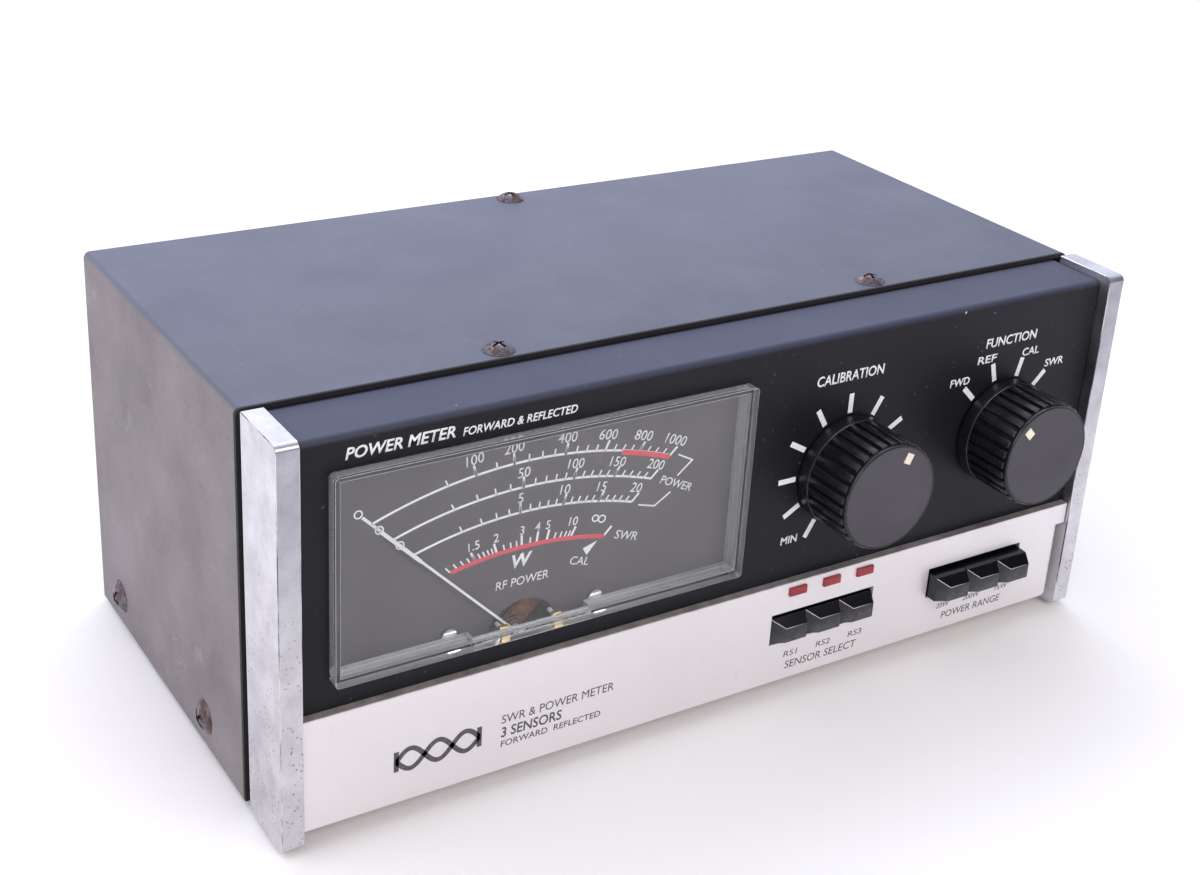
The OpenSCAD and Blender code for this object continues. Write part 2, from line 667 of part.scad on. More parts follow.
cover();
chassis();
rear_panel();
front_frame();
black_panel();
silver_panel();
trim_left();
trim_right();
trim_screws();
cover_top_screws();
cover_side_screws();
feet();
foot_screws();
meter_cover();
meter_case();
dial_plate();
dial_screws();
pointer();
moving_coil();
hairspring();
meter_core();
meter_magnets();
meter_yoke();
bridge_front();
bridge_rear();
jewel_screws();
pointer_stops();
cal_knob();
cal_disc();
cal_mark();
cal_grub();
cal_shaft();
cal_pot();
cal_nut();
func_knob();
func_disc();
func_mark();
func_grub();
func_shaft();
func_switch();
func_nut();
key_rs1();
key_rs2();
key_rs3();
key_20w();
key_200w();
key_1kw();
bank_sensor();
bank_range();
leds();
main_board();
standoffs();
couplers();
sockets_uhf();
sockets_n();
socket_inserts();
socket_screws();
dc_jack();
ground_post();
ground_nut();
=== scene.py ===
"""Bench SWR and RF power meter: finishes, print, knobs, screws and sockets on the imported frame.

Distances called mm are measured as in the part: x from the middle, y from the front of the
end trims and z from their lower ends. spot() turns them into metres in the shared frame.
"""
import json
import math

import bmesh
import bpy
from mathutils import Matrix, Vector


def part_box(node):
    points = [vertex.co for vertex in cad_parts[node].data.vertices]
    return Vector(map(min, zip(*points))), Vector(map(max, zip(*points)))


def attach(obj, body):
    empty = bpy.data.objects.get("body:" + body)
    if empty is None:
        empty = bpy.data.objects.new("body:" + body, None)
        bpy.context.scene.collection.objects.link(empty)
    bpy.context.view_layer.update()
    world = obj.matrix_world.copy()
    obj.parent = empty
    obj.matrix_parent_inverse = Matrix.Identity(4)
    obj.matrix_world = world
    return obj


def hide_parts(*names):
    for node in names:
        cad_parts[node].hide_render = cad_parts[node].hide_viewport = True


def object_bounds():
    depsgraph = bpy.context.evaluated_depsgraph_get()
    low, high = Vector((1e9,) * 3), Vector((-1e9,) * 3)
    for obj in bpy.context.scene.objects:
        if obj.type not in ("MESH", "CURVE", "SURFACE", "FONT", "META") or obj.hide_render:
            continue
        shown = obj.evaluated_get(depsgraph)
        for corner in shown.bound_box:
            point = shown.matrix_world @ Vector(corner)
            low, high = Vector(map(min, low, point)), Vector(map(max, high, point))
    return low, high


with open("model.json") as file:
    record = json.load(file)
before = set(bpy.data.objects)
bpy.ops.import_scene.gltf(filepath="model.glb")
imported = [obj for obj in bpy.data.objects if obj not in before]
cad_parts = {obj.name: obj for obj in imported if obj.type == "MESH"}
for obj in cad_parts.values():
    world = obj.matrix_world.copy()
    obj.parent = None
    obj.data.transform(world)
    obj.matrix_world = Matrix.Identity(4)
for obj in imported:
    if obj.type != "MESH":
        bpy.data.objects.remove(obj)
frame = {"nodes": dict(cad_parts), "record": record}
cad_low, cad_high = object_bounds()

MM = 0.001
FRONT_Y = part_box("trim_left")[0][1]
LOW_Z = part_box("trim_left")[0][2]
PANEL_Y = (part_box("black_panel")[0][1] - FRONT_Y) / MM
FASCIA_Y = (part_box("silver_panel")[0][1] - FRONT_Y) / MM
DIAL_Y = (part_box("dial_plate")[0][1] - FRONT_Y) / MM
# Thickness of print in mm
INK = 0.03
BODIES = frame["record"]["behaviour"]["bodies"]
HOME = {node: body for body, nodes in BODIES.items() for node in nodes}
JOINTS = {joint["name"]: joint for joint in frame["record"]["behaviour"]["joints"]}


def spot(x, y, z):
    """A place given in mm, as a point in metres in the shared frame."""
    return Vector((x * MM, FRONT_Y + y * MM, LOW_Z + z * MM))


def axis_of(joint):
    """x and z in mm of a joint's axis along Y."""
    x, _, z = JOINTS[joint]["pos_m"]
    return x / MM, (z - LOW_Z) / MM


# ---------- materials ----------

# Short names for nodes: the node, its settings, its inputs in the order given, and its output
KINDS = {
    "mix": ("ShaderNodeMix", {"data_type": "RGBA"}, (0, 6, 7), 2),
    "times": ("ShaderNodeMath", {"operation": "MULTIPLY"}, (0, 1), 0),
    "plus": ("ShaderNodeMath", {"operation": "ADD"}, (0, 1), 0),
    "minus": ("ShaderNodeMath", {"operation": "SUBTRACT"}, (0, 1), 0),
    "larger": ("ShaderNodeMath", {"operation": "MAXIMUM"}, (0, 1), 0),
    "amount": ("ShaderNodeMath", {"operation": "ABSOLUTE"}, (0,), 0),
    "span": ("ShaderNodeMapRange", {}, ("Value", "From Min", "From Max", "To Min", "To Max"), 0),
    "shift": ("ShaderNodeVectorMath", {}, (0, 1), 0),
    "dot": ("ShaderNodeVectorMath", {"operation": "DOT_PRODUCT"}, (0, 1), "Value"),
    "mapping": ("ShaderNodeMapping", {}, ("Vector", "Rotation", "Scale"), 0),
    "noise": ("ShaderNodeTexNoise", {}, ("Vector", "Scale", "Detail", "Roughness"), "Fac"),
    "cells": ("ShaderNodeTexVoronoi", {}, ("Vector", "Scale"), "Distance"),
    "bump": ("ShaderNodeBump", {}, ("Height", "Distance", "Strength"), 0),
    "axes": ("ShaderNodeSeparateXYZ", {}, (0,), 0),
}


def colour(code):
    """An sRGB hex colour as linear RGBA."""
    parts = [int(code[i:i + 2], 16) / 255 for i in (1, 3, 5)]
    return [p / 12.92 if p <= 0.04045 else ((p + 0.055) / 1.055) ** 2.4 for p in parts] + [1.0]


def add(tree, kind, *values, **settings):
    """Adds a node, sets it, links or fills its inputs, and gives its output in use.

    The values come in the order of KINDS, or for any other node as one dictionary of inputs. A
    text that starts with # is a colour.
    """
    name, preset, order, out = KINDS.get(kind, (kind, {}, (), 0))
    made = tree.nodes.new(name)
    for key, value in {**preset, **settings}.items():
        setattr(made, key, value)
    for key, value in (zip(order, values) if order else dict(*values).items()):
        if isinstance(value, bpy.types.NodeSocket):
            tree.links.new(value, made.inputs[key])
        else:
            made.inputs[key].default_value = colour(value) if str(value)[0] == "#" else value
    return made.outputs[out] if made.outputs else None


def start(name, **values):
    """A new material with plain values on its shader, its tree, and Object coordinates."""
    material = bpy.data.materials.new(name)
    material.use_nodes = True
    tree = material.node_tree
    for key, value in values.items():
        tree.nodes["Principled BSDF"].inputs[key.replace("_", " ")].default_value = value
    return material, tree, add(tree, "ShaderNodeTexCoord").node.outputs["Object"]


def finish(material, **patterns):
    """Feeds patterns to inputs of the shader, and gives the material."""
    tree = material.node_tree
    for key, value in patterns.items():
        tree.links.new(value, tree.nodes["Principled BSDF"].inputs[key.replace("_", " ")])
    return material


def blotches(tree, place, size_mm, low, high, detail=4.0, offset=0.0):
    """A 0 to 1 mask of soft patches of about size_mm."""
    moved = add(tree, "shift", place, (offset, offset * 0.7, 0))
    return add(tree, "span", add(tree, "noise", moved, 1 / (size_mm * MM), detail, 0.6), low, high)


def specks(tree, place, pitch_mm, size):
    """A 0 to 1 mask of round specks, one at most in each cell of pitch_mm."""
    return add(tree, "span", add(tree, "cells", place, 1 / (pitch_mm * MM)), size, size * 0.6)


def scratches(tree, place, turn, stretch, width):
    """A 0 to 1 mask of thin lines that run along the X axis of a turned pattern."""
    waves = add(tree, "noise", add(tree, "mapping", place, turn, stretch), 1.0, 1.0)
    return add(tree, "span", add(tree, "amount", add(tree, "minus", waves, 0.5)), width, 0.0)


def along(tree, place, axis, first, last, low=0.0, high=1.0):
    """A ramp from low to high between two places in mm on an axis; X counts from the middle."""
    value = add(tree, "axes", place).node.outputs[axis]
    if axis == "X":
        value = add(tree, "amount", value)
    zero = {"X": 0.0, "Y": FRONT_Y, "Z": LOW_Z}[axis]
    return add(tree, "span", value, zero + first * MM, zero + last * MM, low, high)


def layer(tree, under, mask, strength, over):
    """One colour laid over another where the mask is, at a strength."""
    return add(tree, "mix", add(tree, "times", mask, strength), under, over)


def mottled(tree, place, size_mm, low, high, detail=4.0, offset=0.0):
    """A value that wanders between low and high in patches of about size_mm."""
    return add(tree, "span", blotches(tree, place, size_mm, 0.3, 0.7, detail, offset), 0, 1, low, high)


def grain(tree, place, size_mm, detail, depth_mm, strength):
    """A fine uneven surface with grains of size_mm, depth_mm deep."""
    return add(tree, "bump", add(tree, "noise", place, 1 / (size_mm * MM), detail), depth_mm * MM,
               strength)


def stove_enamel():
    """Matt black stove enamel, sprayed on folded steel.

    A faint orange peel and fine grit scatter the light into a blue-grey sheen. On the top that sheen
    is also painted in: the base colour is blue-grey and lightens towards the back. The sides are
    chalky and brownish from handling, with rubbed patches, stains, a few scratches and grit. The
    front edge, and the sides just behind it, are painted near-black as shade in the gap at the front.
    """
    m, t, p = start("matt_stove_enamel", Specular_IOR_Level=0.8)
    behind_rim = along(t, p, "Y", 23.3, 23.7)
    side = add(t, "times", along(t, p, "X", 124.3, 124.85), behind_rim)
    tone = add(t, "mix", blotches(t, p, 90, 0.3, 0.7), "#44475B", "#4E5165")
    # Painted sheen: the top's base colour lightens towards the back, where the reflected sheen is
    # stronger.
    tone = add(t, "mix", along(t, p, "Y", 30, 128, 0.0, 0.45), tone, "#666A80")
    top = layer(t, tone, blotches(t, p, 2.2, 0.66, 0.78, 2), 0.35, "#77777C")
    chalk = add(t, "mix", blotches(t, p, 34, 0.32, 0.68, 6, 0.3), "#696163", "#877E80")
    chalk = layer(t, chalk, blotches(t, p, 15, 0.64, 0.82, 6, 1.7), 0.55, "#C4BFC0")
    chalk = layer(t, chalk, blotches(t, p, 7, 0.63, 0.78, 5, 3.1), 0.6, "#4A4344")
    speckled = add(t, "span", add(t, "noise", p, 1 / (0.7 * MM), 4.0), 0.35, 0.65, 0.0, 0.3)
    chalk = add(t, "mix", speckled, chalk, "#5A5254")
    cut = add(t, "times", scratches(t, p, (0.9, 0.1, 0.2), (40, 60, 300), 0.006),
              blotches(t, p, 22, 0.66, 0.72, 2, 5.2))
    worn = add(t, "mix", side, top, layer(t, chalk, cut, 0.6, "#CFC8C6"))
    # Painted shade: the front edge and the first millimetre of the sides behind it are near-black and
    # duller, for the shade in the gap in front of the cover.
    rim = add(t, "times", along(t, p, "X", 123, 124.5), add(t, "span", behind_rim, 1, 0))
    rim = add(t, "larger", along(t, p, "Y", 23.2, 22.9), rim)
    rough = add(t, "plus", mottled(t, p, 25, 0.42, 0.56, 5, 0.9), add(t, "times", side, 0.14))
    return finish(m, Base_Color=add(t, "mix", rim, worn, "#0B0B0F"),
                  Roughness=add(t, "plus", rough, add(t, "times", rim, 0.4)),
                  Normal=grain(t, p, 0.45, 3.0, 0.02, 0.35))


def panel_black():
    """Satin black enamel of the front panel, finer than the cover's.

    Bare metal and dust show as pale specks along the bend at the top, where it gets knocked. The top
    in front of the cover is painted blue-grey as sheen.
    """
    m, t, p = start("satin_black_enamel", Specular_IOR_Level=0.2)
    tone = add(t, "mix", blotches(t, p, 60, 0.3, 0.7), "#14151A", "#1B1C22")
    in_gap = along(t, p, "Y", 21.0, 21.6)
    # Painted sheen: the top face in front of the cover gets a blue-grey colour.
    top_painted_sheen = add(t, "times", along(t, p, "Z", 100.6, 102.4), add(t, "span", in_gap, 1, 0))
    tone = add(t, "mix", top_painted_sheen, tone, "#4C4F63")
    tone = layer(t, tone, blotches(t, p, 1.6, 0.70, 0.80, 2, 2.2), 0.28, "#8C8C92")
    chips = add(t, "times", specks(t, p, 2.6, 0.22), blotches(t, p, 9, 0.66, 0.69, 3, 4.1))
    return finish(m, Base_Color=layer(t, tone, chips, along(t, p, "Z", 97.5, 101.5), "#C9C9CF"),
                  Roughness=add(t, "plus", mottled(t, p, 30, 0.40, 0.52),
                                add(t, "times", in_gap, 0.5)),
                  Normal=grain(t, p, 0.35, 2.0, 0.012, 0.3))


def brushed_aluminium():
    """Satin anodised aluminium sheet, brushed along its length.

    Fine lines along X; the folded ledge on top has yellowed brown where dust and damp sat.
    """
    m, t, p = start("satin_anodised_aluminium", Metallic=0.5)
    tone = add(t, "mix", blotches(t, p, 55, 0.3, 0.7), "#E4E0E2", "#ECE8EA")
    tone = layer(t, tone, blotches(t, p, 4.5, 0.66, 0.76, 4, 1.1), 0.14, "#C9A98F")
    brown = add(t, "mix", blotches(t, p, 5, 0.35, 0.65, 5), "#9B8F8C", "#C9C0BE")
    lines = add(t, "noise", add(t, "mapping", p, (0, 0, 0), (30, 4000, 4000)), 1.0, 2.0)
    return finish(m, Base_Color=layer(t, tone, along(t, p, "Z", 33.55, 33.95), 0.85, brown),
                  Roughness=add(t, "span", lines, 0.3, 0.7, 0.36, 0.48),
                  Normal=add(t, "bump", lines, 0.006 * MM, 0.35))


def pitted_chrome():
    """Satin chrome on cast zinc end trims.

    Damp has lifted the plating into small brown pits, thickest low on the front and outer side.
    The front is greyer towards the top. Low on the inner side the plating is thin and matt.
    """
    m, t, p = start("satin_chrome_plate")
    tone = add(t, "mix", blotches(t, p, 9, 0.35, 0.65, 5), "#C3C1C5", "#DAD9DD")
    # The front face turns greyer towards the top.
    greyer_high_front = add(t, "times", along(t, p, "Y", 0.4, 0.1), along(t, p, "Z", 45, 90))
    uneven = add(t, "span", blotches(t, p, 7, 0.3, 0.6, 4), 0, 1, 0.55, 0.8)
    tone = layer(t, tone, greyer_high_front, uneven, "#8E8F98")
    crowd = add(t, "times", blotches(t, p, 6, 0.45, 0.56, 3, 0.6), along(t, p, "Z", 75, 20, 0.25))
    pits = add(t, "times", specks(t, p, 1.25, 0.27), crowd)
    small = add(t, "times", specks(t, p, 0.6, 0.30), blotches(t, p, 8, 0.42, 0.6, 3, 2.6))
    tone = layer(t, layer(t, tone, small, 0.38, "#8F8A86"), pits, 0.8, "#8A7B6C")
    matt = add(t, "times", along(t, p, "X", 119.75, 119.6), along(t, p, "Z", 29, 26))
    skin = add(t, "noise", p, 1 / (0.8 * MM), 4.0)
    sunk = add(t, "minus", skin, add(t, "times", pits, 1.5))
    return finish(m, Base_Color=tone, Metallic=add(t, "span", matt, 0, 1, 1.0, 0.1),
                  Roughness=add(t, "plus", mottled(t, p, 14, 0.26, 0.42, 5, 3.3),
                                add(t, "times", pits, 0.3)),
                  Normal=add(t, "bump", sunk, 0.03 * MM, 0.4))


def rubbed_plate():
    """The trims' edges, where the plating is bright in places and in others gone to dark zinc."""
    m, t, p = start("rubbed_plate_edges", Metallic=1.0)
    gone = blotches(t, p, 13, 0.44, 0.60, 4, 2.4)
    return finish(m, Base_Color=add(t, "mix", gone, "#D9D9DE", "#5E5E64"),
                  Roughness=add(t, "span", gone, 0, 1, 0.2, 0.55),
                  Normal=grain(t, p, 1.5, 3.0, 0.08, 0.5))


def rusted_screw():
    """Nickel-plated steel screw heads, dull and brown with rust where the plating has gone."""
    m, t, p = start("rusted_nickel_plate")
    rust = blotches(t, p, 2.4, 0.46, 0.60, 5)
    tone = add(t, "mix", blotches(t, p, 1.1, 0.3, 0.7, 4, 1.3), "#4A464A", "#85828A")
    brown = add(t, "mix", blotches(t, p, 0.8, 0.35, 0.65, 4, 2.2), "#3A231D", "#6B4434")
    crust = add(t, "times", add(t, "noise", p, 1 / (0.5 * MM), 5.0), rust)
    return finish(m, Base_Color=add(t, "mix", rust, tone, brown),
                  Metallic=add(t, "span", rust, 0, 1, 0.95, 0.25),
                  Roughness=add(t, "span", rust, 0, 1, 0.24, 0.6),
                  Normal=add(t, "bump", crust, 0.06 * MM, 0.6))


def metal(name, base, worn, rough_low, rough_high, grain_mm=0.8):
    """Bare or plated metal that is only slightly uneven in tone and polish."""
    m, t, p = start(name, Metallic=1.0)
    return finish(m, Base_Color=add(t, "mix", blotches(t, p, grain_mm * 6, 0.3, 0.7, 5), base, worn),
                  Roughness=mottled(t, p, grain_mm * 4, rough_low, rough_high, 5, 1.0),
                  Normal=grain(t, p, grain_mm, 3.0, 0.015, 0.3))


def plastic(name, base, worn, rough_low, rough_high, grain_mm=0.3, depth_mm=0.01):
    """Moulded plastic with its mould's fine texture and a little wear."""
    m, t, p = start(name)
    return finish(m, Base_Color=add(t, "mix", blotches(t, p, 6, 0.35, 0.7, 4), base, worn),
                  Roughness=mottled(t, p, 4, rough_low, rough_high, 4, 1.0),
                  Normal=grain(t, p, grain_mm, 2.0, depth_mm, 0.35))


def key_plastic():
    """Semi-gloss black ABS keys; their front faces are greyed partly by fingers, partly as painted
    light.
    """
    m, t, p = start("semi_gloss_abs")
    normal = add(t, "ShaderNodeNewGeometry").node.outputs["Normal"]
    # Painted light, partly finger wear: faces that look to the front are lighter grey than the top and
    # side facets, most towards the bottom.
    outer = add(t, "span", add(t, "axes", normal).node.outputs["Y"], -0.84, -0.99)
    rubbed_and_lit_front = add(t, "times", along(t, p, "Z", 20.9, 16.5, 0.25), outer)
    rubbed_and_lit_front = add(t, "times", rubbed_and_lit_front, mottled(t, p, 3, 0.45, 1))
    return finish(m, Base_Color=add(t, "mix", rubbed_and_lit_front, "#0C0C11", "#55545A"),
                  Roughness=add(t, "span", rubbed_and_lit_front, 0, 1, 0.18, 0.36),
                  Normal=grain(t, p, 0.4, 2.0, 0.008, 0.3))


def rubbed_crease():
    """The keys' rounded edges, dark, with a painted pale highlight on the crease where it faces up and
    left.
    """
    m, t, p = start("rubbed_abs_edges", Roughness=0.25)
    normal = add(t, "ShaderNodeNewGeometry").node.outputs["Normal"]
    # Painted highlight: near-white where the edge faces up and left, the way a lamp would glint on it.
    crease = add(t, "span", add(t, "dot", normal, (-0.257, -0.917, 0.309)), 0.966, 0.982)
    return finish(m, Base_Color=layer(t, "#1C1C20", crease, mottled(t, p, 2, 0.75, 1.0, 3), "#EDECF0"))


def spun_disc():
    """Dark anodised aluminium inlay of a knob, with a fine grit that softens its reflections."""
    m, t, p = start("spun_dark_aluminium", Metallic=0.55)
    grit = add(t, "noise", p, 1 / (0.25 * MM), 3.0)
    return finish(m, Base_Color=add(t, "mix", blotches(t, p, 18, 0.3, 0.7), "#47454A", "#504E53"),
                  Roughness=add(t, "span", grit, 0.3, 0.7, 0.42, 0.55),
                  Normal=add(t, "bump", grit, 0.006 * MM, 0.3))


def lamp_red():
    """Red tinted epoxy of an unlit lamp: milky inside, with a soft face."""
    m, t, p = start("red_tinted_epoxy", Roughness=0.32, Subsurface_Weight=0.25,
                    Subsurface_Scale=0.002)
    return finish(m, Base_Color=add(t, "mix", blotches(t, p, 2.5, 0.3, 0.7, 3), "#8C1F2C", "#A3323E"),
                  Normal=grain(t, p, 0.5, 2.0, 0.01, 0.3))


def let_light_in(tree, tint):
    """Lets light from the lamps through the clear plastic, a little dimmed, to what is behind."""
    lamps = add(tree, "ShaderNodeLightPath").node.outputs["Is Shadow Ray"]
    through = add(tree, "ShaderNodeBsdfTransparent", {"Color": tint})
    joined = add(tree, "ShaderNodeMixShader",
                 {0: lamps, 1: tree.nodes["Principled BSDF"].outputs[0], 2: through})
    tree.links.new(joined, tree.nodes["Material Output"].inputs["Surface"])


def clear_acrylic():
    """Polished cast acrylic window, with hairline marks and a little haze from cleaning."""
    m, t, p = start("polished_clear_acrylic", IOR=1.49, Transmission_Weight=1.0)
    hair = scratches(t, p, (0.0, 0.6, 0.0), (30, 30, 700), 0.012)
    marks = add(t, "times", hair, blotches(t, p, 12, 0.52, 0.66, 3))
    let_light_in(t, "#EEF0F2")
    return finish(m, Base_Color=add(t, "mix", marks, "#F9FAFB", "#FFFFFF"),
                  Roughness=add(t, "span", marks, 0, 1, 0.01, 0.1),
                  Normal=grain(t, p, 14, 1.0, 0.02, 0.2))


def moulded_edge(name, clear):
    """Satin walls and corners of the moulded acrylic cover, paler than its polished face.

    The mould left them a little rough, so they glow where light runs along inside the sheet. The
    corners are made least clear, so their near-white base stands for painted highlights.
    """
    m, t, p = start(name, IOR=1.49, Transmission_Weight=clear)
    let_light_in(t, "#D8DADE")
    return finish(m, Base_Color=add(t, "mix", blotches(t, p, 16, 0.3, 0.7, 2), "#EEF1F6", "#FCFDFF"),
                  Roughness=mottled(t, p, 9, 0.05, 0.12, 2, 2.0),
                  Normal=grain(t, p, 3, 1.0, 0.02, 0.3))


def dial_paint():
    """Matt dark grey paint on the dial's aluminium plate, with a faint dusty mottle."""
    m, t, p = start("matt_dial_paint", Specular_IOR_Level=0.3)
    tone = add(t, "mix", blotches(t, p, 26, 0.3, 0.7, 5), "#4F4A4D", "#5A5558")
    dust = blotches(t, p, 0.9, 0.68, 0.80, 2, 1.9)
    return finish(m, Base_Color=layer(t, tone, dust, 0.25, "#9A989D"),
                  Roughness=mottled(t, p, 9, 0.6, 0.75), Normal=grain(t, p, 0.3, 2.0, 0.004, 0.2))


def screen_ink(name, base, worn):
    """Screen-printed ink, slightly uneven where the mesh let less through."""
    m, t, p = start(name, Roughness=0.55)
    return finish(m, Base_Color=add(t, "mix", blotches(t, p, 0.7, 0.45, 0.8, 4), base, worn),
                  Normal=grain(t, p, 0.2, 2.0, 0.004, 0.3))


def enamelled_wire():
    """Copper winding: turns of fine enamelled wire side by side, drawn at 0.25 mm to show."""
    m, t, p = start("enamelled_copper_wire", Metallic=0.6, Coat_Weight=0.4)
    turns = add(t, "ShaderNodeTexWave", {"Vector": p, "Scale": 0.31 / (0.25 * MM), "Distortion": 0.6},
                bands_direction="Y").node.outputs["Fac"]
    return finish(m, Base_Color=add(t, "mix", blotches(t, p, 2, 0.3, 0.7, 4), "#B5623A", "#E09A66"),
                  Roughness=add(t, "span", turns, 0, 1, 0.42, 0.26),
                  Normal=add(t, "bump", turns, 0.08 * MM, 0.8))


def laminate():
    """Glass and resin circuit board: green solder mask over a faint weave of 0.5 mm."""
    m, t, p = start("glass_resin_laminate", Roughness=0.38)
    weave = add(t, "ShaderNodeTexChecker", {"Vector": p, "Scale": 1 / (0.5 * MM),
                                            "Color1": "#4C5A2E", "Color2": "#556434"}).node.outputs
    tone = add(t, "mix", blotches(t, p, 12, 0.35, 0.7), weave["Color"], "#3F4B26")
    return finish(m, Base_Color=tone, Normal=add(t, "bump", weave["Fac"], 0.01 * MM, 0.3))


def paper():
    """Plain white paper sweep."""
    m, t, p = start("white_paper", Roughness=0.9, Specular_IOR_Level=0.1)
    return finish(m, Base_Color=add(t, "mix", blotches(t, p, 300, 0.3, 0.7, 3), "#FBF7F5", "#FFFCFA"),
                  Normal=grain(t, p, 2.5, 3.0, 0.15, 0.3))


enamel = stove_enamel()
black = panel_black()
aluminium = brushed_aluminium()
chrome = pitted_chrome()
chrome_edges = rubbed_plate()
rust = rusted_screw()
acrylic = clear_acrylic()
acrylic_wall = moulded_edge("satin_acrylic_wall", 0.84)
# Painted highlight: the rounded corners are mostly opaque near-white, for the bright lines along the
# cover's edges.
acrylic_corner_glint = moulded_edge("satin_acrylic_corners", 0.3)
dial_grey = dial_paint()
white_ink = screen_ink("white_screen_ink", "#F4F4F6", "#D9D9DD")
dial_ink = screen_ink("white_dial_ink", "#F6F6F8", "#E4E4E8")
grey_ink = screen_ink("dark_grey_screen_ink", "#4A484B", "#6A686A")
red_ink = screen_ink("red_dial_ink", "#E0404E", "#D83A48")
knob_black = plastic("satin_black_phenolic", "#131318", "#1E1E24", 0.24, 0.4, 0.35)
rim_black = plastic("polished_black_phenolic", "#121216", "#1B1B20", 0.12, 0.22, 0.8, 0.006)
cream = plastic("cream_inlay_plastic", "#EFE6D0", "#E2D6BC", 0.35, 0.5)
keys_black = key_plastic()
key_edges_glint = rubbed_crease()
disc_metal = spun_disc()
lamp = lamp_red()
copper = enamelled_wire()
board = laminate()
zinc = metal("zinc_plated_steel", "#B9BAC0", "#9C9DA2", 0.3, 0.45, 1.2)
nickel = metal("nickel_plated_brass", "#C9C6BE", "#B7B3A8", 0.18, 0.32, 0.9)
bright_steel = metal("polished_steel", "#D9DADD", "#C4C5C9", 0.16, 0.28, 0.6)
brass_metal = metal("turned_brass", "#C9AE6A", "#B3965A", 0.22, 0.38, 0.7)
iron = metal("ground_iron", "#77777C", "#606065", 0.4, 0.6, 1.0)
bakelite = plastic("black_bakelite", "#1A1A1D", "#242427", 0.3, 0.45, 0.5)
rubber = plastic("moulded_rubber", "#1B1B1D", "#2A2A2C", 0.7, 0.9, 0.4, 0.03)
switch_case = plastic("phenolic_switch_body", "#B8AF98", "#A0967E", 0.5, 0.65, 0.5)
insulator = plastic("white_ptfe", "#ECE8DE", "#DDD7C8", 0.35, 0.5, 0.6)
lacquer = plastic("white_lacquer", "#F5F5F3", "#E6E6E2", 0.3, 0.42, 0.5)


# ---------- shaping ----------


def new_object(name, mesh):
    """A new object in the scene with this mesh, curve, light or camera."""
    made = bpy.data.objects.new(name, mesh)
    bpy.context.scene.collection.objects.link(made)
    return made


def to_mesh(shape, name, *materials):
    """A mesh from a bmesh, which is used up."""
    mesh = bpy.data.meshes.new(name)
    shape.to_mesh(mesh)
    shape.free()
    for material in materials:
        mesh.materials.append(material)
    return mesh


def settle(obj, smooth_deg=30):
    """Turns an object with its modifiers into a plain mesh object.

    Edges sharper than smooth_deg stay sharp; with None the normals are left as they are.
    """
    bpy.context.view_layer.update()
    graph = bpy.context.evaluated_depsgraph_get()
    mesh = bpy.data.meshes.new_from_object(obj.evaluated_get(graph))
    mesh.name = obj.name
    name, place = obj.name, obj.matrix_world.copy()
    bpy.data.objects.remove(obj)
    mesh.transform(place)
    if smooth_deg is not None:
        mesh.shade_smooth()
        mesh.set_sharp_from_angle(angle=math.radians(smooth_deg))
    return new_object(name, mesh)


def join(name, parts):
    """One mesh object from several, each keeping its materials."""
    whole = bmesh.new()
    mats = []
    for part in parts:
        shift = []
        for material in part.data.materials:
            if material not in mats:
                mats.append(material)
            shift.append(mats.index(material))
        before = len(whole.faces)
        whole.from_mesh(part.data)
        whole.faces.ensure_lookup_table()
        for face in whole.faces[before:]:
            face.material_index = shift[face.material_index] if shift else 0
    for part in parts:
        bpy.data.objects.remove(part)
    return new_object(name, to_mesh(whole, name, *mats))


def hand_over(obj, body, *nodes):
    """obj rides on a body and stands for CAD nodes, if any are named."""
    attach(obj, body)
    if nodes:
        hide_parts(*nodes)
    return obj


def edged(node, material, width, edge_material=None):
    """The CAD node with its sharp edges rounded by width mm, as pressing or moulding leaves them.

    edge_material, if given, shows on the rounded edges alone.
    """
    mesh = frame["nodes"][node].data.copy()
    shape = bmesh.new()
    shape.from_mesh(mesh)
    bmesh.ops.remove_doubles(shape, verts=shape.verts, dist=2e-6)
    bmesh.ops.dissolve_limit(shape, angle_limit=math.radians(0.4), verts=shape.verts,
                             edges=shape.edges, delimit={"NORMAL"})
    shape.to_mesh(mesh)
    shape.free()
    mesh.materials.clear()
    mesh.materials.append(material)
    if edge_material:
        mesh.materials.append(edge_material)
    obj = new_object(node + "_edged", mesh)
    bevel = obj.modifiers.new("edges", "BEVEL")
    bevel.width = width * MM
    bevel.segments = 2
    bevel.limit_method = "ANGLE"
    bevel.angle_limit = math.radians(28)
    bevel.miter_outer = "MITER_ARC"
    bevel.material = 1 if edge_material else -1
    made = settle(obj)
    flat = made.modifiers.new("flat_faces", "WEIGHTED_NORMAL")
    flat.keep_sharp = True
    return hand_over(settle(made, None), HOME[node], node)


def lathe(name, outline, centre, material, steps=96):
    """A solid turned about an axis along Y through centre (x, z); outline is (radius, y) in mm."""
    shape = bmesh.new()
    rings = []
    for radius, y in outline:
        if radius == 0:
            rings.append([shape.verts.new(spot(centre[0], y, centre[1]))])
            continue
        turn = [2 * math.pi * i / steps for i in range(steps)]
        rings.append([shape.verts.new(spot(centre[0] + radius * math.sin(a), y,
                                           centre[1] + radius * math.cos(a))) for a in turn])
    closed = outline[0][0] > 0 and outline[-1][0] > 0
    pairs = list(zip(rings, rings[1:])) + ([(rings[-1], rings[0])] if closed else [])
    for one, two in pairs:
        for i in range(steps):
            j = (i + 1) % steps
            corners = [one[i % len(one)], one[j % len(one)], two[j % len(two)], two[i % len(two)]]
            shape.faces.new(list(dict.fromkeys(corners)))
    bmesh.ops.recalc_face_normals(shape, faces=shape.faces)
    return new_object(name, to_mesh(shape, name, material))


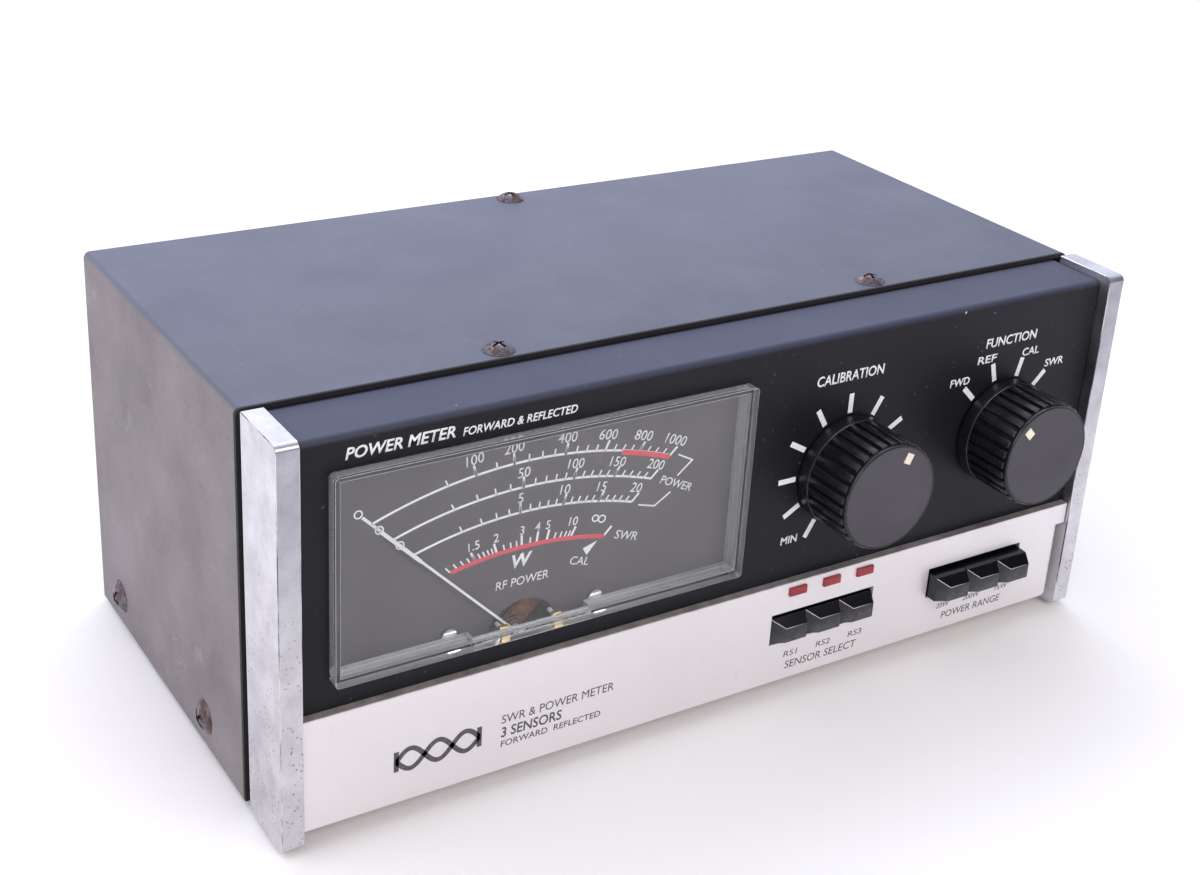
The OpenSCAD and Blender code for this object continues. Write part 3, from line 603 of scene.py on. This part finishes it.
def cut_out(obj, tool):
    """obj with the shape of tool cut out of it; both are used up."""
    cut = obj.modifiers.new("cut", "BOOLEAN")
    cut.operation = "DIFFERENCE"
    cut.object = tool
    made = settle(obj)
    bpy.data.objects.remove(tool)
    return made


def brick(name, low, high, material, bevel_mm=0.0, segments=3):
    """A box from low to high in mm about the origin, with rounded edges."""
    shape = bmesh.new()
    bmesh.ops.create_cube(shape, size=1)
    size = [(h - l) * MM for l, h in zip(low, high)]
    middle = [(h + l) / 2 * MM for l, h in zip(low, high)]
    bmesh.ops.transform(shape, matrix=Matrix.Translation(middle) @ Matrix.Diagonal((*size, 1)),
                        verts=shape.verts)
    if bevel_mm:
        bmesh.ops.bevel(shape, geom=shape.edges[:], offset=bevel_mm * MM, segments=segments,
                        affect="EDGES", profile=0.5)
    return new_object(name, to_mesh(shape, name, *([material] if material else [])))


# ---------- node trees for what repeats ----------


def open_tree(name, **inputs):
    """A Geometry Nodes tree with named inputs and one geometry output, and its input sockets."""
    tree = bpy.data.node_groups.new(name, "GeometryNodeTree")
    for label, kind in inputs.items():
        tree.interface.new_socket(label, in_out="INPUT", socket_type="NodeSocket" + kind)
    tree.interface.new_socket("Geometry", in_out="OUTPUT", socket_type="NodeSocketGeometry")
    return tree, add(tree, "NodeGroupInput").node.outputs


def close_tree(tree, instances, material):
    """Makes the instances real, gives them their material and hands them out."""
    real = add(tree, "GeometryNodeRealizeInstances", {"Geometry": instances})
    done = add(tree, "GeometryNodeSetMaterial", {"Geometry": real, "Material": material})
    add(tree, "NodeGroupOutput", {"Geometry": done})
    return tree


def on_points_tree():
    """Puts a piece on every point, turned and sized by the points' own attributes."""
    tree, given = open_tree("piece_on_every_point", Geometry="Geometry", Piece="Object",
                            Finish="Material")
    piece = add(tree, "GeometryNodeObjectInfo", {"Object": given["Piece"]}, transform_space="ORIGINAL")
    turn, size = [add(tree, "GeometryNodeInputNamedAttribute", {"Name": name},
                      data_type="FLOAT_VECTOR") for name in ("turn", "size")]
    placed = add(tree, "GeometryNodeInstanceOnPoints",
                 {"Points": given["Geometry"], "Instance": piece.node.outputs["Geometry"],
                  "Rotation": turn, "Scale": size})
    return close_tree(tree, placed, given["Finish"])


def round_axis_tree():
    """Repeats the given geometry round an axis along Y, from a first angle by a step."""
    tree, given = open_tree("repeat_round_axis", Geometry="Geometry", Count="Int",
                            First_Angle="Float", Step="Float", Axis_Place="Vector",
                            Finish="Material")
    steps = add(tree, "times", add(tree, "GeometryNodeInputIndex"), given["Step"])
    turn = add(tree, "ShaderNodeCombineXYZ", {"Y": add(tree, "plus", steps, given["First_Angle"])})
    points = add(tree, "GeometryNodePoints",
                 {"Count": given["Count"], "Position": given["Axis_Place"]})
    placed = add(tree, "GeometryNodeInstanceOnPoints",
                 {"Points": points, "Instance": given["Geometry"], "Rotation": turn})
    return close_tree(tree, placed, given["Finish"])


ON_POINTS = on_points_tree()
ROUND_AXIS = round_axis_tree()


def run_tree(obj, tree, **values):
    """Gives obj the tree with the named inputs set, and returns its result as a plain mesh."""
    modifier = obj.modifiers.new("repeat", "NODES")
    modifier.node_group = tree
    for item in tree.interface.items_tree:
        if item.in_out == "INPUT" and item.name in values:
            modifier[item.identifier] = values[item.name]
    return settle(obj)


def round_axis(obj, joint, count, first_deg, step_deg, material):
    """Copies of obj, which stands at twelve o'clock, round a joint's axis."""
    x, z = axis_of(joint)
    return run_tree(obj, ROUND_AXIS, Count=count, First_Angle=math.radians(first_deg),
                    Step=math.radians(step_deg), Axis_Place=(x * MM, 0, LOW_Z + z * MM),
                    Finish=material)


def on_points(name, piece, places, material):
    """A copy of piece at each (point, turn, size); the piece itself is used up."""
    mesh = bpy.data.meshes.new(name)
    mesh.from_pydata([p for p, _, _ in places], [], [])
    for key, column in (("turn", 1), ("size", 2)):
        layer = mesh.attributes.new(key, "FLOAT_VECTOR", "POINT")
        layer.data.foreach_set("vector", [v for place in places for v in place[column]])
    made = run_tree(new_object(name, mesh), ON_POINTS, Piece=piece, Finish=material)
    bpy.data.objects.remove(piece)
    return made


# ---------- screws ----------

# Where the screws stand in mm; on top with the turn of each cross in degrees
TOP_SCREWS = [((-57.5, 27.5), 20), ((56.3, 27.5), 75), ((-0.4, 124.3), 4)]
SIDE_SCREW_Y = (48.5, 112.2)
SIDE_SCREW_Z = 8.6
SOCKET_X = [-94, -62, -24, 8, 46, 78]
SOCKET_Z = 56
BARREL_LONG = 12.0
SOCKET_Y = (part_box("sockets_uhf")[1][1] - FRONT_Y) / MM - BARREL_LONG
FLANGE_HOLE = 9.1
THREAD_PITCH = 1.06


def cross_head(name, radius, height, shank_r, shank_l, material):
    """A domed head with a cross recess and shank, its seat at the origin, pointing up."""
    ball = (radius * radius + height * height) / (2 * height)
    half = math.asin(radius / ball)
    outline = [(0.0, height)]
    outline += [(ball * math.sin(half * i / 8), height - ball + ball * math.cos(half * i / 8))
                for i in range(1, 8)]
    outline += [(radius, 0.12), (radius, 0.0), (shank_r, 0.0), (shank_r, -shank_l), (0.0, -shank_l)]
    head = lathe(name, outline, (0, 0), material, 40)
    head.data.transform(Matrix.Rotation(math.radians(90), 4, "X") @ Matrix.Translation(-spot(0, 0, 0)))
    for turn in (0, 90):
        slot_box = brick("recess", (-radius * 0.52, -radius * 0.1, height - 1.25),
                         (radius * 0.52, radius * 0.1, height + 2), None, radius * 0.05, 2)
        slot_box.data.transform(Matrix.Rotation(math.radians(turn), 4, "Z"))
        head = cut_out(head, slot_box)
    return head


def screw_set(name, node, head, places, turn_of, material):
    """Copies of a head at points in mm, each turned as turn_of says in degrees, for a CAD node."""
    turned = [(spot(*place), [math.radians(a) for a in turn_of(place)], (1, 1, 1)) for place in places]
    hand_over(on_points(name, head, turned, material), "housing", node)


def screws():
    """The screws that show outside: on top of the cover, at its sides and round the sockets."""
    top_z = (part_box("cover")[1][2] - LOW_Z) / MM
    side_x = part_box("cover")[1][0] / MM
    spin = dict(TOP_SCREWS)
    screw_set("top_screws", "cover_top_screws", cross_head("top_head", 4.05, 1.9, 1.7, 6, rust),
              [(x, y, top_z) for x, y in spin], lambda at: (0, 0, spin[at[:2]]), rust)
    screw_set("side_screws", "cover_side_screws", cross_head("side_head", 4.7, 2.1, 1.9, 5.5, rust),
              [(s * side_x, y, SIDE_SCREW_Z) for s in (-1, 1) for y in SIDE_SCREW_Y],
              lambda at: (90, at[1], math.copysign(90, at[0])), rust)
    screw_set("flange_screws", "socket_screws", cross_head("socket_head", 2.7, 1.4, 1.5, 6, zinc),
              [(x + dx, SOCKET_Y, SOCKET_Z + dz) for x in SOCKET_X
               for dx in (-FLANGE_HOLE, FLANGE_HOLE) for dz in (-FLANGE_HOLE, FLANGE_HOLE)],
              lambda at: (-90, 0, 0), zinc)


# ---------- knobs ----------

KNOB_FRONT = -15.5
KNOB_RIBS = 30


def knob(prefix, joint, mark_deg):
    """A pressed-on cap knob: smooth skirt, ribbed grip and a polished rim round the inlay."""
    centre = axis_of(joint)
    grip = lathe(prefix + "_core", [
        (3.02, 3.0), (14.9, 3.0), (15.14, 2.8), (15.2, 2.4), (15.2, -0.4), (15.12, -0.66),
        (14.95, -0.78), (13.95, -0.84), (13.95, -13.3), (3.02, -13.3)], centre, knob_black, 120)
    ring = lathe(prefix + "_rim", [
        (13.0, -13.3), (14.0, -13.3), (14.35, -13.6), (14.5, -14.0), (14.5, -14.9), (14.46, -15.2),
        (14.36, -15.42), (14.2, KNOB_FRONT), (14.08, KNOB_FRONT), (14.03, -15.4), (14.03, -14.7),
        (13.0, -14.7)],
        centre, rim_black, 120)
    rib = brick(prefix + "_rib", (-1.0, -14.45, 13.4), (1.0, -0.55, 14.95), knob_black, 0.33, 3)
    rib.data.transform(Matrix.Translation((0, FRONT_Y, 0)))
    ribs = round_axis(rib, joint, KNOB_RIBS, mark_deg, 360 / KNOB_RIBS, knob_black)
    hand_over(join(prefix + "_grip", [settle(grip), settle(ring), ribs]), HOME[prefix], prefix)


# ---------- print on the panels ----------


def flat_ink(name, mesh, material, y, thick=INK):
    """A flat shape drawn in x and z mm, made a thin layer of ink whose back is on the plane y."""
    mesh.transform(Matrix.Scale(MM, 4))
    mesh.materials.clear()
    mesh.materials.append(material)
    shape = bmesh.new()
    shape.from_mesh(mesh)
    bmesh.ops.remove_doubles(shape, verts=shape.verts, dist=1e-7)
    for vert in shape.verts:
        vert.co = Vector((vert.co.x, FRONT_Y + (y - thick) * MM, LOW_Z + vert.co.z))
    bmesh.ops.recalc_face_normals(shape, faces=shape.faces)
    bmesh.ops.reverse_faces(shape, faces=[face for face in shape.faces if face.normal.y > 0])
    front = shape.faces[:]
    rim = [edge for edge in shape.edges if edge.is_boundary]
    walls = bmesh.ops.extrude_edge_only(shape, edges=rim)["geom"]
    for vert in (g for g in walls if isinstance(g, bmesh.types.BMVert)):
        vert.co.y += thick * 0.95 * MM
    bmesh.ops.recalc_face_normals(shape, faces=[f for f in shape.faces if f not in front])
    shape.to_mesh(mesh)
    shape.free()
    return new_object(name, mesh)


def words(text, x, z, height, width=None, lean=0.0, tilt=0.0, bold=0.0, middle=True):
    """A flat mesh of text in x and z mm: cap height and width in mm, centred on x, z being its foot."""
    curve = bpy.data.curves.new("words", "FONT")
    curve.body = text
    curve.shear = lean
    curve.offset = bold
    curve.resolution_u = 3
    obj = new_object("words", curve)
    bpy.context.view_layer.update()
    mesh = bpy.data.meshes.new_from_object(obj.evaluated_get(bpy.context.evaluated_depsgraph_get()))
    bpy.data.objects.remove(obj)
    xs = [v.co.x for v in mesh.vertices]
    cap = 0.729
    high = height / cap
    wide = width / (max(xs) - min(xs)) if width else high * 0.94
    shift = -(max(xs) + min(xs)) / 2 if middle else -min(xs)
    turn = Matrix.Rotation(math.radians(-tilt), 4, "Z")
    mesh.transform(Matrix.Diagonal((wide, high, 1, 1)) @ Matrix.Translation((shift, 0, 0)))
    if tilt:
        half = Matrix.Translation((0, -height / 2, 0))
        mesh.transform(half.inverted() @ turn @ half)
    mesh.transform(Matrix(((1, 0, 0, x), (0, 0, 0, 0), (0, 1, 0, z), (0, 0, 0, 1))))
    return mesh


def merge(meshes):
    """One mesh from several."""
    shape = bmesh.new()
    for mesh in meshes:
        shape.from_mesh(mesh)
    return to_mesh(shape, "merged")


def outline_mesh(loops):
    """A flat mesh in x and z from closed loops of (x, z) corners."""
    shape = bmesh.new()
    for loop in loops:
        shape.faces.new([shape.verts.new((x, 0, z)) for x, z in loop])
    return to_mesh(shape, "shape")


def stroke(points, width):
    """A flat line of one width through (x, z) points, as a row of quads with mitred corners."""
    left, right = [], []
    for i, (x, z) in enumerate(points):
        before = Vector(points[max(i - 1, 0)])
        after = Vector(points[min(i + 1, len(points) - 1)])
        way = (after - before).normalized()
        here = Vector((x, z))
        inward = (here - before).normalized() if i else way
        grow = 1 / max(0.35, way.dot(inward))
        side = Vector((-way.y, way.x)) * width / 2 * grow
        left.append(tuple(here + side))
        right.append(tuple(here - side))
    return outline_mesh([[left[i], left[i + 1], right[i + 1], right[i]]
                         for i in range(len(points) - 1)])


def panel_print():
    """White lettering and scale bars on the black panel."""
    made = merge([words(*row) for row in (
        ("POWER METER", -107.8, 96.2, 2.9, 26.6, 0.22, 0, 0.022, False),
        ("FORWARD & REFLECTED", -79.4, 96.0, 2.1, 29.8, 0.22, 0, 0.018, False),
        ("CALIBRATION", 32.4, 88.5, 2.9, 22.0, 0.06, 0, 0.018),
        ("MIN", 17.7, 44.6, 2.3, 5.4, 0.06, 0, 0.02),
        ("FUNCTION", 88.3, 89.0, 2.8, 18.6, 0.06, 0, 0.018),
        ("FWD", 71.2, 79.5, 2.3, 7.0, 0.06, 0, 0.02), ("REF", 80.2, 84.6, 2.3, 7.0, 0.06, 0, 0.02),
        ("CAL", 96.3, 84.3, 2.3, 6.2, 0.06, 0, 0.02), ("SWR", 106.2, 79.4, 2.3, 7.1, 0.06, 0, 0.02))])
    hand_over(flat_ink("panel_lettering", made, white_ink, PANEL_Y), "housing")
    bars = (("calibration_scale", "calibration_turn", 11, -150, 30),
            ("function_scale", "function_turn", 4, -45, 30))
    for name, joint, count, first, step in bars:
        bar = brick(name, (-0.75, PANEL_Y - INK, 15.7), (0.75, PANEL_Y - 0.002, 21.2), white_ink)
        bar.data.transform(Matrix.Translation((0, FRONT_Y, 0)))
        hand_over(round_axis(bar, joint, count, first, step, white_ink), "housing")


def standing_wave(x0, z0, width, height, loops, line):
    """A plain sign for a standing wave: two mirrored waves between end bars."""
    count = 24 * loops
    made = []
    for sign in (-1, 1):
        path = [(x0 + width * i / count,
                 z0 + sign * height / 2 * math.sin(math.pi * loops * i / count))
                for i in range(count + 1)]
        made.append(stroke(path, line))
    for x in (x0, x0 + width):
        made.append(stroke([(x, z0 - height / 2), (x, z0 + height / 2)], line))
    return merge(made)


def fascia_print():
    """Dark grey lettering on the silver panel, with a plain standing-wave sign."""
    made = [words(*row) for row in (
        ("RS1", 20.4, 10.9, 1.8, 4.6, 0.1), ("RS2", 31.5, 10.9, 1.8, 4.8, 0.1),
        ("RS3", 42.6, 10.9, 1.8, 4.8, 0.1), ("SENSOR SELECT", 31.2, 7.1, 2.4, 24.6, 0.1),
        ("20W", 74.7, 11.0, 1.7, 4.8, 0.1), ("200W", 85.5, 11.0, 1.7, 6.4, 0.1),
        ("1kW", 97.2, 11.0, 1.7, 4.9, 0.1), ("POWER RANGE", 86.0, 7.2, 2.3, 22.6, 0.1),
        ("SWR & POWER METER", -68.0, 17.3, 2.5, 32.0, 0.06, 0, 0, False),
        ("3 SENSORS", -68.0, 13.4, 2.9, 17.0, 0.06, 0, 0.014, False),
        ("FORWARD  REFLECTED", -68.0, 10.6, 1.8, 28.5, 0.06, 0, 0.006, False))]
    hand_over(flat_ink("fascia_lettering", merge(made), grey_ink, FASCIA_Y), "housing")
    sign = standing_wave(-96.0, 15.6, 22.0, 5.6, 3, 1.3)
    hand_over(flat_ink("standing_wave_sign", sign, grey_ink, FASCIA_Y), "housing")


# ---------- dial ----------

PIVOT = axis_of("pointer_turn")
ARC_DROP = 66.4
SWEEP = 45.0
# Radius of each arc in mm; the arcs' centre is ARC_DROP below the pivot
ARC_A, ARC_B, ARC_C, ARC_D = 113.85, 107.1, 100.5, 91.4
# Each power scale: arc, full reading, law, numbered ticks, other ticks, number height and gap
POWER_SCALES = (
    (ARC_A, 1000, 0.5, (100, 200, 400, 600, 800, 1000),
     [*range(50, 600, 50), *range(650, 1000, 50)], 2.8, 2.9),
    (ARC_B, 200, 0.527, (50, 100, 150, 200), range(10, 200, 10), 2.7, 2.6),
    (ARC_C, 20, 0.55, (5, 10, 15, 20), range(1, 20), 2.7, 2.6),
)


def reach(arc, angle):
    """Distance from the pivot to an arc, along a ray at angle degrees from straight up."""
    a = math.radians(angle)
    return -ARC_DROP * math.cos(a) + math.sqrt(arc ** 2 - (ARC_DROP * math.sin(a)) ** 2)


def on_dial(arc, angle, further=0.0):
    """x and z in mm of the place on an arc that the pointer crosses at an angle."""
    r = reach(arc, angle) + further
    a = math.radians(angle)
    return PIVOT[0] + r * math.sin(a), PIVOT[1] + r * math.cos(a)


def arc_tilt(arc, angle):
    """How far the arc has turned, in degrees, where the pointer crosses it at an angle."""
    x, _ = on_dial(arc, angle)
    return math.degrees(math.asin((x - PIVOT[0]) / arc))


def arc_line(arc, start_deg, end_deg, width, offset=0.0):
    """A printed arc between two pointer angles."""
    first, last = (math.radians(arc_tilt(arc, d)) for d in (start_deg, end_deg))
    count = 90
    path = []
    for i in range(count + 1):
        a = first + (last - first) * i / count
        path.append((PIVOT[0] + (arc + offset) * math.sin(a),
                     PIVOT[1] - ARC_DROP + (arc + offset) * math.cos(a)))
    return stroke(path, width)


def power_angle(watts, full, law):
    """Pointer angle at a power, on a scale with this full reading."""
    return -SWEEP + 2 * SWEEP * (watts / full) ** law


def swr_angle(ratio):
    """Pointer angle at a standing wave ratio, from the share of voltage that comes back."""
    rho = 1.0 if ratio == math.inf else (ratio - 1) / (ratio + 1)
    return -SWEEP + 2 * SWEEP * rho ** 1.08


def tick_places(arc, angles, long_mm, wide_mm):
    """Places for unit ticks that start on the arc and point away from the pivot."""
    places = []
    for angle in angles:
        x, z = on_dial(arc, angle, -0.2)
        places.append((spot(x, DIAL_Y, z), (0, math.radians(angle), 0), (wide_mm, INK, long_mm)))
    return places


def dial_ticks():
    """Every tick of the four scales, from the scales' own laws."""
    rows = [(arc, [power_angle(w, full, law) for w in minor], [power_angle(w, full, law) for w in long])
            for arc, full, law, long, minor, _, _ in POWER_SCALES]
    between = [1 + i / 10 for i in range(1, 10)] + [2.25, 2.5, 2.75, 3.5, 6, 7, 8, 9]
    rows.append((ARC_D, [swr_angle(s) for s in between],
                 [swr_angle(s) for s in (1.5, 2, 3, 4, 5, 10, math.inf)]))
    places = []
    for arc, minor, long in rows:
        places += tick_places(arc, minor, 1.9, 0.4) + tick_places(arc, long, 3.0, 0.6)
    tick = brick("tick", (-0.5, -1, 0), (0.5, -0.05, 1), dial_ink)
    return on_points("dial_ticks", tick, places, dial_ink)


def number(text, arc, angle, height, away):
    """A number outside an arc, turned with it."""
    x, z = on_dial(arc, angle)
    tilt = arc_tilt(arc, angle)
    a = math.radians(tilt)
    out = away + height / 2
    return words(text, x + out * math.sin(a), z + out * math.cos(a) - height / 2, height, None,
                 0.08, tilt, 0.002)


def ring(x, z, radius, width):
    """A printed ring about x, z."""
    count = 24
    turn = [2 * math.pi * i / count for i in range(count + 1)]
    return stroke([(x + radius * math.sin(a), z + radius * math.cos(a)) for a in turn], width)


def dial_print():
    """Scales, numbers and words of the dial."""
    white = []
    for arc, full, law, long, _, high, away in POWER_SCALES:
        white.append(arc_line(arc, -SWEEP, SWEEP, 0.6))
        white += [number(str(w), arc, power_angle(w, full, law), high, away) for w in long]
    white += [number(f"{s:g}", ARC_D, swr_angle(s), 2.4, 3.0) for s in (1.5, 2, 3, 4, 5, 10)]
    zero = math.radians(-SWEEP)
    from_pivot = [(PIVOT[0] + r * math.sin(zero), PIVOT[1] + r * math.cos(zero)) for r in (41.7, 59.9)]
    white.append(stroke(from_pivot, 0.75))
    for r in (61.3, 54.0, 46.7):
        white.append(ring(PIVOT[0] + r * math.sin(zero), PIVOT[1] + r * math.cos(zero), 0.95, 0.36))
    x, z = -38.6, 62.8
    white += [ring(x - 1.05, z + 0.5, 0.85, 0.36), ring(x + 0.85, z - 0.1, 0.95, 0.36)]
    white += [words(*row) for row in (
        ("W", -59.8, 55.2, 3.6, 5.6, 0.2, 0, 0.03), ("RF POWER", -59.5, 50.1, 2.4, 14.5, 0.1, 0, 0.003),
        ("POWER", -16.3, 66.5, 2.3, 10.4, 0.08, 25, 0.003),
        ("SWR", -30.2, 55.2, 2.4, 7.0, 0.08, 18, 0.003),
        ("CAL", -43.5, 51.4, 2.3, 5.6, 0.08, 16, 0.003))]
    white.append(outline_mesh([[(-38.8, 56.9), (-42.8, 55.7), (-41.6, 53.6)]]))
    white.append(stroke([(-16.4, 75.6), (-12.0, 73.2), (-16.2, 69.7)], 0.4))
    white.append(stroke([(-17.9, 65.6), (-22.5, 62.7), (-27.3, 64.1)], 0.4))
    ink = flat_ink("dial_lettering", merge(white), dial_ink, DIAL_Y)
    hand_over(join("dial_print", [ink, dial_ticks()]), "housing")
    red = merge([arc_line(ARC_A, power_angle(700, 1000, 0.5), SWEEP, 1.3, -0.45),
                 arc_line(ARC_D, swr_angle(1.12), SWEEP, 1.1, -0.35)])
    hand_over(flat_ink("dial_red_bands", red, red_ink, DIAL_Y, INK * 1.6), "housing")


# ---------- sockets behind ----------

def barrel(x, notched):
    """The threaded barrel of one coax socket, its thread drawn as rings."""
    root, crest, bore = 7.45, 7.94, 6.3
    y0, y1 = SOCKET_Y, SOCKET_Y + BARREL_LONG
    outline = [(bore, y0 + 0.8), (root, y0 + 0.8), (root, y0 + 1.2)]
    count = int((y1 - y0 - 2.2) / THREAD_PITCH)
    for i in range(count):
        y = y0 + 1.2 + i * THREAD_PITCH
        outline += [(crest, y + 0.42), (crest, y + 0.6), (root, y + 1.0)]
    outline += [(root, y1 - 0.5), (root - 0.3, y1), (bore + 0.2, y1), (bore, y1 - 0.3)]
    made = lathe("barrel", outline, (x, SOCKET_Z), nickel, 64)
    if notched:
        for turn in (0, 45):
            cut_box = brick("notch", (-9, y1 - 1.2, -0.8), (9, y1 + 1, 0.8), None)
            cut_box.data.transform(Matrix.Rotation(math.radians(turn + 22), 4, "Y"))
            cut_box.data.transform(Matrix.Translation((x * MM, FRONT_Y, LOW_Z + SOCKET_Z * MM)))
            made = cut_out(made, cut_box)
    return settle(made)


def flange(x):
    """The square flange of one coax socket, with its four holes and rounded corners."""
    plate = brick("flange", (x - 12.7, SOCKET_Y - 2.0, -12.7), (x + 12.7, SOCKET_Y, 12.7), nickel)
    plate.data.transform(Matrix.Translation((0, FRONT_Y, LOW_Z + SOCKET_Z * MM)))
    bevel = plate.modifiers.new("edges", "BEVEL")
    bevel.width = 0.5 * MM
    bevel.segments = 3
    neck = lathe("neck", [(6.4, SOCKET_Y - 0.2), (8.6, SOCKET_Y - 0.2), (8.6, SOCKET_Y + 0.5),
                          (8.3, SOCKET_Y + 0.8), (6.4, SOCKET_Y + 0.8)], (x, SOCKET_Z), nickel, 64)
    return [settle(plate), settle(neck)]


def sockets():
    """The coax sockets in two kinds, notched ones on the left as seen from the front."""
    for node, xs, notched in (("sockets_uhf", SOCKET_X[:4], True), ("sockets_n", SOCKET_X[4:], False)):
        parts = []
        for x in xs:
            parts += flange(x) + [barrel(x, notched)]
        hand_over(join(node + "_threaded", parts), "housing", node)


# ---------- putting it together ----------

FINISHES = {
    enamel: ["cover"], black: ["rear_panel", "black_panel"],
    zinc: ["chassis", "trim_screws", "foot_screws", "cal_nut", "func_nut", "standoffs", "cal_pot",
           "couplers", "ground_post", "socket_screws", "cal_grub", "func_grub"],
    aluminium: ["silver_panel", "front_frame"], chrome: ["trim_left", "trim_right"],
    rust: ["cover_top_screws", "cover_side_screws"], rubber: ["feet"], acrylic: ["meter_cover"],
    dial_grey: ["dial_plate"], lacquer: ["pointer", "pointer_stops"], copper: ["moving_coil"],
    brass_metal: ["hairspring", "bridge_front", "bridge_rear", "ground_nut"],
    iron: ["meter_core", "meter_magnets", "meter_yoke"], bakelite: ["meter_case", "dc_jack"],
    bright_steel: ["dial_screws", "jewel_screws", "cal_shaft", "func_shaft"],
    knob_black: ["cal_knob", "func_knob"], disc_metal: ["cal_disc", "func_disc"],
    cream: ["cal_mark", "func_mark"], lamp: ["leds"], board: ["main_board"],
    keys_black: ["key_rs1", "key_rs2", "key_rs3", "key_20w", "key_200w", "key_1kw"],
    switch_case: ["bank_sensor", "bank_range", "func_switch"], insulator: ["socket_inserts"],
    nickel: ["sockets_uhf", "sockets_n"],
}
FINISH = {node: material for material, nodes in FINISHES.items() for node in nodes}
for name, obj in frame["nodes"].items():
    obj.data.materials.clear()
    obj.data.materials.append(FINISH[name])

# How far each node's sharp edges are rounded, in mm
EDGES = {"cover": 0.3, "black_panel": 0.25, "silver_panel": 0.2, "trim_left": 0.45,
         "trim_right": 0.45, "rear_panel": 0.25, "meter_cover": 0.4, "leds": 0.18,
         **{key: 0.12 for key in FINISHES[keys_black]}, "cal_disc": 0.12, "func_disc": 0.12,
         "feet": 0.4, "ground_nut": 0.3, "dc_jack": 0.3, "dial_screws": 0.12, "ground_post": 0.2,
         "bridge_front": 0.1}
EDGE_FINISH = {"key": key_edges_glint, "trim": chrome_edges, "meter": acrylic_corner_glint}
for node, width in EDGES.items():
    shaped = edged(node, FINISH[node], width, EDGE_FINISH.get(node.split("_")[0]))
    if node == "meter_cover":
        shaped.data.materials.append(acrylic_wall)
        for face in shaped.data.polygons:
            if face.material_index == 0 and abs(face.normal.y) < 0.35:
                face.material_index = 2

screws()
knob("cal_knob", "calibration_turn", 25)
knob("func_knob", "function_turn", -43)
panel_print()
fascia_print()
dial_print()
sockets()


# ---------- floor, light and camera ----------


floor_shape = bmesh.new()
bmesh.ops.create_circle(floor_shape, cap_ends=True, radius=4.0, segments=64)
floor = new_object("floor", to_mesh(floor_shape, "floor", paper()))
floor.location.z = cad_low[2]

world = bpy.data.worlds.new("studio")
bpy.context.scene.world = world
world.use_nodes = True
sky = world.node_tree
ray = add(sky, "ShaderNodeTexCoord").node.outputs["Generated"]
toward_sky = add(sky, "dot", ray, (-0.1, 0.85, 0.5))
sky_colour = add(sky, "mix", add(sky, "span", toward_sky, -0.9, 0.7), "#DAD3CF", "#E6ECFF")
dark_room = add(sky, "span", add(sky, "dot", ray, (0.53, -0.67, 0.52)), 0.72, 0.9)
sky_colour = add(sky, "mix", dark_room, sky_colour, "#35363F")
sky.links.new(sky_colour, sky.nodes["Background"].inputs["Color"])
sky.nodes["Background"].inputs["Strength"].default_value = 1.2


def softbox(name, place, aim, size, power, tint):
    """A soft rectangular lamp at a place, turned to its aim."""
    data = bpy.data.lights.new(name, "AREA")
    data.shape = "RECTANGLE"
    data.size, data.size_y = size
    data.energy = power
    data.color = colour(tint)[:3]
    obj = new_object(name, data)
    obj.location = place
    obj.rotation_euler = (Vector(aim) - Vector(place)).to_track_quat("-Z", "Y").to_euler()


softbox("window_left", (-0.9, 0.25, 0.75), (0, 0, 0.05), (0.9, 0.7), 3.0, "#FFF9F4")
softbox("overhead_back", (0.2, 0.8, 1.1), (0, 0, 0.05), (1.2, 0.7), 5.0, "#F6F8FF")
softbox("fill_front", (0.3, -1.2, 0.9), (0, 0, 0.05), (0.9, 0.7), 8.0, "#FFFBF6")

camera_data = bpy.data.cameras.new("camera")
camera = new_object("camera", camera_data)
right = Vector((0.8408, -0.5377, 0.0622))
ahead = Vector((0.5147, 0.7586, -0.3995))
ahead = (ahead - right * ahead.dot(right)).normalized()
up = right.cross(ahead)
basis = Matrix((right, up, -ahead)).transposed()
camera.matrix_world = Matrix.Translation((-0.25201, -0.37805, 0.27420)) @ basis.to_4x4()
camera_data.sensor_width = 36
camera_data.lens = 54.2
camera_data.shift_x = -0.02525
camera_data.shift_y = -0.0603
camera_data.clip_start = 0.01
bpy.context.scene.camera = camera
bpy.context.scene.view_settings.view_transform = "Standard"
